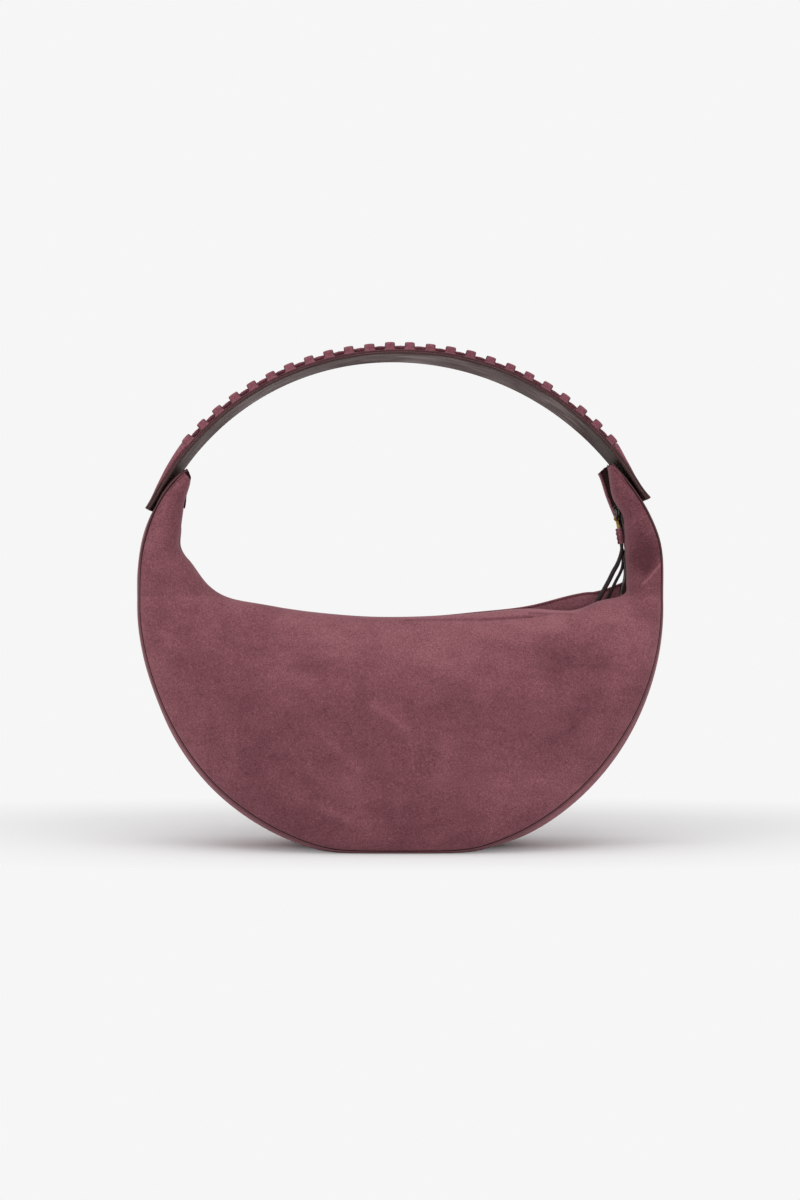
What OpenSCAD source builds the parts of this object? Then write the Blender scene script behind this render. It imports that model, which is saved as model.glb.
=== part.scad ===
// Half moon shoulder bag in suede, with a woven handle and a zip along its mouth.
// The body is a crescent that nearly fills a circle, and the handle closes that circle.
// Angles run anticlockwise from +X, as seen from the front, which faces -Y.

/* [Body] */
// Radius of the seam between panel and gusset
seam_r = 192; // [180:1:205]
// How far the circle of the seam is pressed flat by the base
base_press = 6.5; // [5:0.5:9]
// Half the width of the gusset at the base
base_half = 34; // [30:1:38]
// How far the panels swell beyond the seam at the base
belly = 14; // [10:1:17]
// How far the gusset swells beyond the seam at the sides
side_swell = 6; // [5:0.5:7]
// Extra swell of the gusset at the lower corners
corner_swell = 3.4; // [2:0.2:4]
// Thickness of the suede
suede_t = 1.6; // [1.2:0.1:2]
// Thickness of the lining fabric
lining_t = 0.8; // [0.6:0.1:1]
// Diameter of the piping in the seams
welt_d = 1.8; // [1.4:0.1:2.2]

/* [Handle] */
// Width of the handle
strap_w = 40; // [36:1:42]
// How far the handle's crown lies inside the circle of the seam
crown_drop = 4.2; // [2:0.2:6]
// How much further out the handle lies where it meets the body
end_reach = 10.5; // [10:0.1:11]
// Thickness of the handle's suede layer
outer_t = 1.6; // [1.2:0.1:1.8]
// Thickness of the handle's lining
strap_lining_t = 1.1; // [0.9:0.1:1.2]
// Thickness of the reinforcement between the layers
core_t = 0.5; // [0.4:0.1:0.6]
// Number of bridges on each half of the handle
bridge_pairs = 12; // [10:1:12]
// Distance from one bridge to the next along the handle
bridge_pitch = 15.3; // [14.5:0.1:15.6]
// Length of a bridge along the handle
bridge_l = 6.6; // [5:0.2:8]
// Height of a bridge over the suede
bridge_h = 6.3; // [5.6:0.1:7]
// Width of a bridge across the handle
bridge_w = 33; // [30:1:35]
// Width of the lace
lace_w = 23; // [20:1:25]
// Thickness of the lace
lace_t = 3.4; // [2.8:0.1:3.8]

/* [Zip] */
// Width of the gap between the turned edges of the panels
mouth_gap = 11; // [10.6:0.2:13]
// Depth of the zip below those edges
zip_recess = 7; // [6:0.5:8]
// Width of the closed chain
chain_w = 5; // [4.8:0.1:5.1]
// Thickness of the chain
chain_t = 2.2; // [2:0.1:2.3]
// Thickness of the tapes
tape_t = 0.5; // [0.4:0.05:0.6]
// Lean of the straight run in the right neck, degrees from upright
neck_lean = 13; // [12:0.5:14]
// Length of the slider
slider_l = 11; // [10:0.5:12]
// Width of the slider
slider_w = 9.6; // [9.4:0.1:9.8]

/* [Pull] */
// Wire thickness of the ring
ring_wire = 1.5; // [1.3:0.1:1.5]
// Diameter of the ring, wire centre to wire centre
ring_l = 7.1; // [6.8:0.1:8]
// Length of the connector from the ring to the collar
bar_l = 8; // [7:0.5:9]
// Diameter of the collar
collar_d = 5.6; // [5.4:0.1:5.8]
// Length of the collar
collar_l = 11.5; // [10:0.5:12]
// Diameter of a strand
strand_d = 2.4; // [2.2:0.1:2.5]

/* [Hidden] */

suede = "#7d4652";
dark_leather = "#46302e";
lining_leather = "#4f4444";
cloth = "#5b4a45";
metal = "#4a4846";
brass = "#8a7338";

// Seating gap between pieces that are sewn or glued together
seat = 0.15;
// Gap round the layers of the soft shell
layer_gap = 0.7;

// Height of the circle's centre above the base
centre_z = seam_r - base_press + welt_d / 2;
// Softness of the turn from the base into the sides
base_soft = 4;
tip_half = strap_w / 2;

// Elevation of the two tips above the circle's centre, and of the widest place below them
left_tip_e = 30;
right_tip_e = 33;
rise_e = 14;
// How far the seam rises and then falls in, as shares of its radius
seam_rise_share = 0.021;
left_fall_share = 0.068;
right_fall_share = 0.044;
left_fall_power = 2.2;
right_fall_power = 1.6;
tip_swell = 2.4;

// Mouth edge: the angle of the seam point across from it, then x and z as shares of seam_r
mouth_shares = [
    [150, -0.829, 0.460], [158, -0.842, 0.372], [167, -0.856, 0.285], [176, -0.858, 0.212],
    [186, -0.815, 0.145], [197, -0.752, 0.060], [209, -0.672, 0.012], [224, -0.540, -0.014],
    [241, -0.350, -0.044], [258, -0.130, -0.062], [275, 0.090, -0.0615], [292, 0.300, -0.052],
    [309, 0.500, -0.044], [324, 0.670, -0.042], [337, 0.775, -0.025], [347, 0.852, 0.018],
    [356, 0.886, 0.085], [365, 0.885, 0.165], [373, 0.875, 0.255], [380, 0.850, 0.335],
    [386, 0.822, 0.410], [393, 0.818, 0.525]
];
mouth_rows = len(mouth_shares) - 1;
// Steps along the crescent and across a panel
crescent_steps = 2 * mouth_rows;
panel_steps = 8;
gusset_steps = 6;
fold_power = 3.2;

function clamp01(t) = min(max(t, 0), 1);
function ease(t) = let (c = clamp01(t)) c * c * (3 - 2 * c);
function unit(p) = p / norm(p);

// Cubic through rows p0 to p3, at share t between p1 and p2
function cubic(p0, p1, p2, p3, t) =
    p1 + t / 2 * (p2 - p0 + t * (2 * p0 - 5 * p1 + 4 * p2 - p3 + t * (3 * (p1 - p2) + p3 - p0)));
// Smooth curve through a list of rows, at place s counted in rows
function curve(rows, s) =
    let (last = len(rows) - 1, i = min(floor(s), last - 1))
    cubic(rows[max(i - 1, 0)], rows[i], rows[i + 1], rows[min(i + 2, last)], s - i);

// Seam radius at angle a: level below, rising a little beside the centre, then falling in to the tips
function rise(e) = seam_rise_share * (1 - cos(180 * clamp01(e / rise_e))) / 2;
function fall(e, tip_e, share, power) = share * pow(max(e - rise_e, 0) / (tip_e - rise_e), power);
function elevation(a) = abs(a - 270) - 90;
function seam_r_at(a) =
    let (e = elevation(a))
    seam_r * (1 + rise(e) - (a < 270 ? fall(e, left_tip_e, left_fall_share, left_fall_power)
                                     : fall(e, right_tip_e, right_fall_share, right_fall_power)));
// 1 at the base, 0 at the tips
function base_share(a) = cos(90 * min(abs(a - 270) / (90 + right_tip_e), 1));
function half_at(a) = tip_half + (base_half - tip_half) * base_share(a);
function swell_at(a) =
    let (q = abs(a - 270))
    q < 90 ? side_swell + corner_swell * sin(2 * q)
           : side_swell - (side_swell - tip_swell) * ease((q - 90) / left_tip_e);
// Height pressed up softly by the base
function settle(z, low) = low + (z - low + sqrt(pow(z - low, 2) + pow(base_soft, 2))) / 2;
function polar(r, a) = [r * cos(a), centre_z + r * sin(a)];

// Points of the crescent at place s: seam and mouth edge as [x, z], each over the steps of s
function row_at(s) = curve(mouth_shares, s);
function seam_at(s, low) =
    let (a = row_at(s)[0], p = polar(seam_r_at(a), a))
    [p[0], settle(p[1], low)];
function mouth_at(s) = let (m = row_at(s)) [m[1] * seam_r, centre_z + m[2] * seam_r];

// Depth of a panel at place s and share v from seam to mouth: the seam's half width,
// the swell of the belly, and a fold that closes to the mouth like a superellipse
function panel_y(a, v) =
    let (h = half_at(a),
         full = h + belly * pow(base_share(a), 1.3) * pow(sin(180 * pow(v, 0.8)), 0.7),
         m = mouth_gap / 2)
    m + (full - m) * pow(1 - pow(v, fold_power), 1 / fold_power);
// Grids of points, and the same grid moved along its own normals
function grid_step(g, i, j, di, dj) =
    let (i0 = max(i - di, 0), i1 = min(i + di, len(g) - 1),
         j0 = max(j - dj, 0), j1 = min(j + dj, len(g[0]) - 1))
    g[i1][j1] - g[i0][j0];
function moved(g, d) = [for (i = [0:len(g) - 1]) [for (j = [0:len(g[0]) - 1])
    g[i][j] + d * unit(cross(grid_step(g, i, j, 1, 0), grid_step(g, i, j, 0, 1)))]];
function mirrored(g) = [for (row = g) [for (p = row) [p[0], -p[1], p[2]]]];
// The left neck leans: its rear lies further out than its front
left_lean = 5;
lean_from_share = 0.354;
lean_span_share = 0.115;
function leant(g) = [for (row = g) [for (p = row)
    [p[0] - (p[0] < 0 ? left_lean * clamp01((p[1] + tip_half) / strap_w)
        * ease(((p[2] - centre_z) / seam_r - lean_from_share) / lean_span_share) : 0), p[1], p[2]]]];

// Closed shell between two grids with the same rows and columns
module shell(p, q) {
    rows = len(p);
    cols = len(p[0]);
    n = rows * cols;
    mi = floor(rows / 2);
    mj = floor((cols - 1) / 2);
    out = cross(p[mi + 1][mj] - p[mi][mj], p[mi][mj + 1] - p[mi][mj]) * (p[mi][mj] - q[mi][mj]) > 0;
    function id(k, i, j) = k * n + i * cols + j;
    function quad(a, b, c, d) = [[a, b, c], [a, c, d]];
    faces = [
        for (i = [0:rows - 2]) for (j = [0:cols - 2]) for (f = concat(
            quad(id(0, i, j), id(0, i, j + 1), id(0, i + 1, j + 1), id(0, i + 1, j)),
            quad(id(1, i, j), id(1, i + 1, j), id(1, i + 1, j + 1), id(1, i, j + 1)))) f,
        for (i = [0:rows - 2]) for (f = concat(
            quad(id(0, i, 0), id(0, i + 1, 0), id(1, i + 1, 0), id(1, i, 0)),
            quad(id(0, i + 1, cols - 1), id(0, i, cols - 1), id(1, i, cols - 1), id(1, i + 1, cols - 1)))) f,
        for (j = [0:cols - 2]) for (f = concat(
            quad(id(0, 0, j + 1), id(0, 0, j), id(1, 0, j), id(1, 0, j + 1)),
            quad(id(0, rows - 1, j), id(0, rows - 1, j + 1), id(1, rows - 1, j + 1), id(1, rows - 1, j)))) f
    ];
    polyhedron(points = [for (g = [p, q]) for (row = g) for (pt = row) pt],
        faces = out ? [for (f = faces) [f[2], f[1], f[0]]] : faces, convexity = 10);
}

// Front panel's skin at depth d inside its outer face, over places and shares between the ends given
seam_low = welt_d / 2;
edge_inset = welt_d / 2 + seat;
panel_inset = edge_inset + seat;
function along(from, to, steps) = [for (i = [0:steps]) from + (to - from) * i / steps];
function skin(d, places, shares) =
    moved([for (s = places) [for (v = shares)
        let (a = row_at(s)[0], p = seam_at(s, seam_low), m = mouth_at(s),
             q = p + unit(m - p) * panel_inset, at = q + (m - q) * v)
        [at[0], -panel_y(a, v), at[1]]]], -d);
all_places = along(0, mouth_rows, crescent_steps);
all_shares = [for (k = [0:panel_steps]) sin(90 * k / panel_steps)];

module front_panel() {
    color(suede) shell(leant(skin(0, all_places, all_shares)), leant(skin(suede_t, all_places, all_shares)));
}

module back_panel() {
    color(suede) shell(leant(mirrored(skin(0, all_places, all_shares))),
        leant(mirrored(skin(suede_t, all_places, all_shares))));
}

// Gusset's surface at radius rise up from the seam, over the width left by the inset at each edge
function band(rise_up, inset, low, places, steps) =
    [for (s = places) let (a = row_at(s)[0], p = seam_at(s, seam_low), half = half_at(a) - inset)
        [for (k = [0:steps])
            let (w = 2 * k / steps - 1, up = rise_up + swell_at(a) * (1 - pow(abs(w), 2.4)))
            [p[0] + up * cos(a), half * w, max(p[1] + up * sin(a), low)]]];

module gusset() {
    below = seam_r;
    color(suede) difference() {
        shell(leant(band(suede_t / 2, edge_inset, -below, all_places, gusset_steps)),
            leant(band(-suede_t / 2, edge_inset, suede_t, all_places, gusset_steps)));
        translate([-below, -below, -2 * below]) cube(2 * below);
    }
}

// Piping along a seam, as a square tube turned on its corner
module welt(side) {
    r = welt_d / 2;
    function ring(s, u, w) =
        let (a = row_at(s)[0], p = seam_at(s, seam_low))
        [p[0] + u * cos(a), side * half_at(a) + w, p[1] + u * sin(a)];
    color(dark_leather) shell(
        leant([for (s = all_places) [ring(s, 0, -r), ring(s, r, 0)]]),
        leant([for (s = all_places) [ring(s, -r, 0), ring(s, 0, r)]]));
}
module front_welt() { welt(-1); }
module back_welt() { welt(1); }

// Lining, sewn in below the mouth and ending before the tips
lining_depth = suede_t + layer_gap;
lining_ends_share = 0.07;
lining_places = [for (s = all_places) if (abs(s / mouth_rows - 0.5) < 0.5 - lining_ends_share) s];
// It stops part of the way over the fold, clear of the turned edge
lining_reach_share = 0.65;
function trimmed(g, share) = [for (row = g) let (n = len(row) - 1)
    [for (k = [0:n]) k < n ? row[k] : row[n - 1] + (row[n] - row[n - 1]) * share]];
function lining_skin(d) = trimmed(skin(d, lining_places, all_shares), lining_reach_share);

module front_lining() {
    color(cloth) shell(lining_skin(lining_depth), lining_skin(lining_depth + lining_t));
}

module back_lining() {
    color(cloth) shell(mirrored(lining_skin(lining_depth)), mirrored(lining_skin(lining_depth + lining_t)));
}

module gusset_lining() {
    inset = lining_depth + lining_t + layer_gap + edge_inset;
    top = -suede_t / 2 - layer_gap;
    color(cloth) shell(
        band(top, inset, suede_t + layer_gap, lining_places, gusset_steps),
        band(top - lining_t, inset, suede_t + layer_gap + lining_t, lining_places, gusset_steps));
}

module slip_pocket() {
    half_span_share = 0.12;
    places = [for (s = all_places) if (abs(s / mouth_rows - 0.5) < half_span_share) s];
    shares = [for (k = [2:5]) all_shares[k]];
    depth = lining_depth + lining_t + layer_gap;
    color(cloth) shell(mirrored(skin(depth, places, shares)), mirrored(skin(depth + lining_t, places, shares)));
}

// Zip line below the mouth's edge: a fixed recess, and a straight run in the right neck
straight_x_share = 0.836;
straight_z_share = 0.519;
straight_from_share = 0.76;
straight_blend_share = 0.095;
recess_ramp_share = 0.095;
function place(share) = share * mouth_rows;
function turn(t) = [t[1], -t[0]];
function mouth_out(s) =
    let (d = 0.02, t = mouth_at(min(s + d, mouth_rows)) - mouth_at(max(s - d, 0))) unit(turn(t));
function zip_at(s) =
    let (m = mouth_at(s), tip_share = 0.45,
         off = m + mouth_out(s) * zip_recess * (tip_share + (1 - tip_share) * ease(s / place(recess_ramp_share))),
         x = straight_x_share * seam_r
             + (centre_z + straight_z_share * seam_r - m[1]) * tan(neck_lean),
         w = ease((s - place(straight_from_share)) / place(straight_blend_share)))
    off * (1 - w) + [x, m[1]] * w;
// Direction from the zip into the loop of the handle
function zip_up(s) =
    let (d = 0.05, t = zip_at(min(s + d, mouth_rows)) - zip_at(max(s - d, 0))) -unit(turn(t));
function zip_point(s, y, n) = let (p = zip_at(s) + zip_up(s) * n) [p[0], y, p[1]];

zip_steps = 48;
slider_share = 0.926;
slider_place = place(slider_share);
// The two halves of the chain part above the slider's wedge
split = 1.1;
split_span_share = 0.01;
split_to = place(slider_share + split_span_share);
function split_at(s) = split * ease((s - slider_place) / (split_to - slider_place));
chain_from_share = 0.04;
chain_to_share = 0.988;
tape_from_share = 0.006;
tape_to_share = 0.995;
mesh_gap = 0.12;
fit_gap = 0.1;
facing_t = 1.4;
tape_reach = mouth_gap / 2 + 3 * facing_t;

function zip_places(from_share, to_share) = concat(along(place(from_share), slider_place, zip_steps),
    [(slider_place + split_to) / 2], along(split_to, place(to_share), 3));

module zip_chain(side) {
    function edge(s, n) = [for (y = [mesh_gap, chain_w / 2]) zip_point(s, side * (y + split_at(s)), n)];
    places = zip_places(chain_from_share, chain_to_share);
    color(metal) shell(leant([for (s = places) edge(s, chain_t / 2)]), leant([for (s = places) edge(s, -chain_t / 2)]));
}
module front_zip_chain() { zip_chain(-1); }
module back_zip_chain() { zip_chain(1); }

module zip_tape(side) {
    function edge(s, n) =
        [zip_point(s, side * (chain_w / 2 + fit_gap + split_at(s)), n), zip_point(s, side * tape_reach, n)];
    places = zip_places(tape_from_share, tape_to_share);
    color(dark_leather)
        shell(leant([for (s = places) edge(s, tape_t / 2)]), leant([for (s = places) edge(s, -tape_t / 2)]));
}
module front_zip_tape() { zip_tape(-1); }
module back_zip_tape() { zip_tape(1); }

// Turned edge of a panel, from under its fold down to the tape
module facing(side) {
    m = mouth_gap / 2;
    function edge(s, y) =
        let (t = mouth_at(s) + mouth_out(s) * (suede_t + layer_gap), b = zip_point(s, side * y, tape_t / 2 + seat))
        [[t[0], side * y, t[1]], b];
    ends_share = 0.024;
    places = along(place(ends_share), place(1 - ends_share), zip_steps);
    color(suede)
        shell(leant([for (s = places) edge(s, m + seat)]), leant([for (s = places) edge(s, m + facing_t)]));
}
module front_facing() { facing(-1); }
module back_facing() { facing(1); }

// Frame at place s of the zip: x towards the right tip, z into the loop
module on_zip(s) {
    p = zip_at(s);
    up = zip_up(s);
    translate([p[0], 0, p[1]]) rotate([0, atan2(up[0], up[1]), 0]) children();
}

stop_l = 1.8;
stop_proud = 0.3;
stop_t = chain_t + 2 * stop_proud;
module stop_block(y0, y1) {
    translate([0, y0, -stop_t / 2]) cube([stop_l, y1 - y0, stop_t]);
}
module top_stops() {
    inner = mesh_gap + split;
    outer = chain_w / 2 + split;
    color(metal) on_zip(place(chain_to_share))
        for (side = [-1, 1]) translate([fit_gap, 0, 0])
            stop_block(side > 0 ? inner : -outer, side > 0 ? outer : -inner);
}
module bottom_stop() {
    s = place(chain_from_share);
    shift = leant([[zip_point(s, 0, 0)]])[0][0] - zip_point(s, 0, 0);
    color(metal) translate(shift) on_zip(s) translate([-stop_l - fit_gap, 0, 0])
        stop_block(-chain_w / 2, chain_w / 2);
}

// Leather tabs over the ends of the tapes
module tip_tab(from_share, to_share) {
    half = mouth_gap / 2 - seat;
    low = tape_t / 2 + seat;
    function edge(s, n) = [zip_point(s, -half, n), zip_point(s, half, n)];
    places = along(place(from_share), place(to_share), 4);
    color(dark_leather)
        shell(leant([for (s = places) edge(s, low + facing_t)]), leant([for (s = places) edge(s, low)]));
}
left_tab_to_share = 0.028;
right_tab_from_share = 0.9965;
module left_tip_tab() { tip_tab(tape_from_share / 2, left_tab_to_share); }
module right_tip_tab() { tip_tab(right_tab_from_share, 1); }

// Slider in its own frame: x up the chain, y across the bag, z into the loop
slider_wall = 0.8;
plate_t = 1.1;
cavity = chain_t / 2 + 0.3;
tape_slot = tape_t / 2 + 0.35;
wedge_w = 1.6;
wedge_l = 2.2;
bail_r = 2;
bail_t = 1.2;
bail_w = 1.6;
hinge_up = cavity + plate_t + ring_wire / 2 + 0.25;
overlap = 0.05;

// Shield outline, full width at the wedge and narrower at the other end
module slider_plate() {
    l = slider_l / 2;
    w = slider_w / 2;
    linear_extrude(plate_t) polygon([[-l, -0.62 * w], [-l, 0.62 * w], [-0.7 * l, 0.84 * w], [-0.1 * l, w],
        [0.75 * l, w], [l, 0.7 * w], [l, -0.7 * w], [0.75 * l, -w], [-0.1 * l, -w], [-0.7 * l, -0.84 * w]]);
}
module slider() {
    rail_l = 0.8 * slider_l;
    rail_h = cavity - tape_slot;
    color(metal) on_zip(slider_place) {
        for (z = [cavity, -cavity - plate_t]) translate([0, 0, z]) slider_plate();
        for (y = [slider_w / 2 - slider_wall, -slider_w / 2], z = [tape_slot, -cavity - overlap])
            translate([-0.05 * slider_l, y, z]) cube([rail_l / 2, slider_wall, rail_h + overlap]);
        translate([slider_l / 2 - wedge_l, -wedge_w / 2, -cavity - overlap])
            cube([wedge_l, wedge_w, 2 * (cavity + overlap)]);
        translate([0, bail_w / 2, cavity + plate_t - overlap]) rotate([90, 0, 0])
            rotate_extrude(angle = 180, $fn = 48) translate([bail_r, 0]) square([bail_t, bail_w]);
    }
}

// The pull hangs on two cross hinges: the ring in the bail, and the connector on the ring
ring_lean = 5.6;
bar_lean = 14;
collar_lean = 8.9;
function down(lean, l) = [l * sin(lean), 0, -l * cos(lean)];
function at3(p, up, n) = [p[0] + up[0] * n, 0, p[1] + up[1] * n];
bail_hinge = at3(zip_at(slider_place), zip_up(slider_place), hinge_up);
ring_hinge = bail_hinge + down(ring_lean, ring_l);
bar_end = ring_hinge + down(bar_lean, bar_l);
collar_end = bar_end + down(collar_lean, collar_l);

// Round wire ring, hanging from its top in the bail
module pull_ring() {
    color(metal) translate(bail_hinge) rotate([0, -ring_lean, 0]) translate([0, 0, -ring_l / 2])
        rotate([0, 90, 0]) rotate_extrude($fn = 64) translate([ring_l / 2, 0]) circle(d = ring_wire, $fn = 24);
}

// Connector: an eye round the ring's lower bar, and a tongue into the collar
eye_wall = 0.8;
eye_gap = 0.35;
eye_w = 2.2;
tongue_t = 1.5;
module pull_bar() {
    outer = ring_wire / 2 + eye_gap + eye_wall;
    color(brass) translate(ring_hinge) rotate([0, -bar_lean, 0]) difference() {
        union() {
            rotate([90, 0, 0]) cylinder(h = eye_w, r = outer, center = true, $fn = 32);
            translate([-tongue_t / 2, -eye_w / 2, seat - bar_l]) cube([tongue_t, eye_w, bar_l - seat]);
        }
        rotate([90, 0, 0]) cylinder(h = 2 * eye_w, r = outer - eye_wall, center = true, $fn = 32);
    }
}

module pull_collar() {
    color(suede) translate(collar_end) rotate([0, -collar_lean, 0])
        difference() {
            cylinder(h = collar_l, d = collar_d, $fn = 40);
            translate([0, 0, collar_l - seat]) cylinder(h = collar_d, d = collar_d - suede_t, $fn = 40);
        }
}

// Routes of the strands, [x, y, z], from the collar down behind the front panel's edge
strand_y = 1.5;
front_route = [
    [168.4, -1.5, 228.5], [168, -1.6, 224], [166.6, -1.8, 218.4], [164.6, -2, 213.4], [162, -2.1, 208.9],
    [158.6, -2.2, 202], [154.9, -2.2, 195.2], [151.6, -2.1, 189.2], [149, -1.9, 184.9], [147.6, -1.8, 182.6]
];
back_route = [
    [168.5, 1.6, 228.3], [169.4, 1.7, 224], [169.8, 1.8, 218.5], [169.3, 1.8, 212.5], [167.6, 1.8, 207.6],
    [164.8, 1.7, 202.3], [161.5, 1.6, 195.6], [159, 1.5, 190.4], [157.2, 1.4, 186.8]
];
module strand(side, points) {
    sides = 8;
    route = concat([collar_end + [0, side * strand_y, 0]], points);
    last = len(route) - 1;
    rings = 2 * last;
    function at(i) = curve(route, i / 2);
    function ring(i) =
        let (t = i == 0 ? down(collar_lean, 1) : unit(at(min(i + 1, rings)) - at(max(i - 1, 0))),
             x = unit(cross([0, 1, 0], t)), y = cross(t, x))
        [for (k = [0:sides - 1]) at(i) + (x * cos(360 * k / sides) + y * sin(360 * k / sides)) * strand_d / 2];
    n = rings + 1;
    color(dark_leather) polyhedron(
        points = [for (i = [0:rings]) for (p = ring(i)) p],
        faces = concat(
            [for (i = [0:rings - 1]) for (k = [0:sides - 1]) let (a = i * sides + k, b = i * sides + (k + 1) % sides)
                for (f = [[a, b, b + sides], [a, b + sides, a + sides]]) f],
            [[for (k = [0:sides - 1]) sides - 1 - k], [for (k = [0:sides - 1]) rings * sides + k]]));
}
module front_strand() { strand(-1, front_route); }
module back_strand() { strand(1, back_route); }

// Handle: radius of its outer face at its near edge, and the twist that lets its far edge drop
crown_r = seam_r - crown_drop;
strap_left_a = 160;
strap_right_a = 22.4;
strap_steps = 56;
flare = 2;
flare_span = 4;
left_twist = -2;
right_twist = 3.5;
function strap_end_at(a) = a > 90 ? strap_left_a - 90 : 90 - strap_right_a;
function strap_r(a) =
    let (q = abs(a - 90), end = strap_end_at(a))
    crown_r + end_reach * pow(q / 60, 1.6)
        + (a > 90 ? 0.6 : 1) * flare * pow(clamp01((q - end + flare_span) / flare_span), 2);
function twist_at(a) =
    (a > 90 ? left_twist : right_twist) * sin(180 * clamp01(abs(a - 90) / strap_end_at(a)));
function strap_normal(a) =
    let (d = 0.5, t = polar(strap_r(a + d), a + d) - polar(strap_r(a - d), a - d)) unit(turn(t));
function strap_point(a, y, n) =
    let (p = polar(strap_r(a) - (y + tip_half) * tan(twist_at(a)), a) + strap_normal(a) * n) [p[0], y, p[1]];
module strap_band(half, top, thick, from, to, steps) {
    function edge(a, n) = [strap_point(a, -half, n), strap_point(a, half, n)];
    places = along(from, to, steps);
    shell([for (a = places) edge(a, top)], [for (a = places) edge(a, top - thick)]);
}
core_inset = 3;
core_top = -outer_t - fit_gap;
lining_top = core_top - core_t - fit_gap;
module strap_outer() {
    color(suede) strap_band(tip_half, 0, outer_t, strap_right_a, strap_left_a, strap_steps);
}
module strap_core() {
    color(cloth) strap_band(tip_half - core_inset, core_top, core_t, strap_right_a, strap_left_a, strap_steps);
}
module strap_lining() {
    color(lining_leather)
        strap_band(tip_half, lining_top, strap_lining_t, strap_right_a, strap_left_a, strap_steps);
}

// Where the flaps begin, as angles from the crown, and how far the lace runs under them
flap_from = 54.6;
lace_tuck_share = 0.12;
flap_w = 36;
flap_h = bridge_h - outer_t;
function flap_a(side, share) = 90 + side * (flap_from + share * (strap_end_at(90 + side) - flap_from));
module strap_lace() {
    color(suede) strap_band(lace_w / 2, seat + lace_t, lace_t,
        flap_a(-1, lace_tuck_share), flap_a(1, lace_tuck_share), strap_steps);
}

module flap(side) {
    function row(share, n) = [for (w = along(-1, 1, 8))
        strap_point(flap_a(side, share), w * flap_w / 2,
            n + flap_h * pow(1 - share, 0.8) * (1 - pow(abs(w), 4)))];
    places = along(0, 1, 8);
    color(suede) shell([for (s = places) row(s, seat + outer_t)], [for (s = places) row(s, seat)]);
}
module left_strap_flap() { flap(1); }
module right_strap_flap() { flap(-1); }

// Bridge: a flat-topped arch across the handle, one stretch of suede long
module bridge() {
    function arch(w, h) = [for (k = [0:12]) let (c = cos(15 * k), s = sin(15 * k))
        [w / 2 * sign(c) * pow(abs(c), 0.4), h * pow(s, 0.4)]];
    inner = arch(bridge_w - 2 * outer_t, bridge_h - outer_t);
    rotate([90, 0, 90]) translate([0, 0, -bridge_l / 2]) linear_extrude(bridge_l)
        polygon(concat(arch(bridge_w, bridge_h), [for (i = [len(inner) - 1:-1:0]) inner[i]]));
}
module strap_bridges() {
    pitch = bridge_pitch / (crown_r + end_reach / 4) * 180 / PI;
    color(suede) for (side = [-1, 1], k = [0:bridge_pairs - 1]) {
        a = 90 + side * (k + 0.5) * pitch;
        up = strap_normal(a);
        translate(strap_point(a, 0, seat)) rotate([0, atan2(up[0], up[1]), 0]) rotate([-twist_at(a), 0, 0])
            bridge();
    }
}

front_panel();
back_panel();
gusset();
front_welt();
back_welt();
front_facing();
back_facing();
front_lining();
back_lining();
gusset_lining();
slip_pocket();
front_zip_tape();
back_zip_tape();
front_zip_chain();
back_zip_chain();
top_stops();
bottom_stop();
left_tip_tab();
right_tip_tab();
slider();
pull_ring();
pull_bar();
pull_collar();
front_strand();
back_strand();
strap_outer();
strap_core();
strap_lining();
strap_lace();
strap_bridges();
left_strap_flap();
right_strap_flap();
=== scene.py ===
# Half moon shoulder bag in suede with a woven handle: its looks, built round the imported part.
import bpy
import numpy as np
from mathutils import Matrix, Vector


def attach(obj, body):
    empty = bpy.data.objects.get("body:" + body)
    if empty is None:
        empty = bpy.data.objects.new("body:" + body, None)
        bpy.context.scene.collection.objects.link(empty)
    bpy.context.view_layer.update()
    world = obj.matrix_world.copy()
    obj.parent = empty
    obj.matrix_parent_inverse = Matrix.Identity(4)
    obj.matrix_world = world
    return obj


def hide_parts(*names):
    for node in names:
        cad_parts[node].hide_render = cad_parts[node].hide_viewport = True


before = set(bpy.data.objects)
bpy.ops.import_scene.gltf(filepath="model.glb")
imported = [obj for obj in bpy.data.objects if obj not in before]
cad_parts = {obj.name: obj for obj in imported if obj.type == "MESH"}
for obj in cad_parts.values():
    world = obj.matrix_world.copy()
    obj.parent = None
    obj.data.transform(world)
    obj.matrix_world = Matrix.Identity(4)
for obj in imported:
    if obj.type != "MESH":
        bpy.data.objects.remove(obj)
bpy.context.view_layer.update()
print("frame loaded")

mm = 0.001  # shapes are worked out in millimetres
rng = np.random.default_rng(11)
acrossBag = np.array([0.0, 1.0, 0.0])
bothSides = ((-1, "front"), (1, "back"))
sharpFrom = 55  # degrees between two faces from which their edge is drawn sharp

studio = {
    "cameraPlace": (0, -1.080, 0.187), "lens": 42.63, "longSide": 36,
    "paper": (0.922, 0.922, 0.922, 1), "paperNear": 0.75, "paperFar": 1.6,
    "paperStretch": (2.4, 8.5, 1), "paperMiddle": (0, 0.085, 0),
    "floorSize": 8, "ambient": 0.62, "aim": (0, 0, 0.19),
    "lamps": {  # place, size, watts; each points at the middle of the bag
        "topLamp": ((-0.1, -0.6, 2.1), (2.2, 1.8), 16),
        "leftLamp": ((-1.9, -1.3, 1.1), (1.4, 1.6), 8),
        "rightLamp": ((1.9, -1.3, 1.1), (1.4, 1.6), 6),
    },
}


def aimed(name, data, place, target):
    obj = bpy.data.objects.new(name, data)
    bpy.context.collection.objects.link(obj)
    obj.location = place
    obj.rotation_euler = (Vector(target) - Vector(place)).to_track_quat("-Z", "Y").to_euler()
    return obj


def makeCamera():
    data = bpy.data.cameras.new("camera")
    data.lens = studio["lens"]
    data.sensor_width = studio["longSide"]
    place = studio["cameraPlace"]
    bpy.context.scene.camera = aimed("camera", data, place, (place[0], 0, place[2]))


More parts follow.
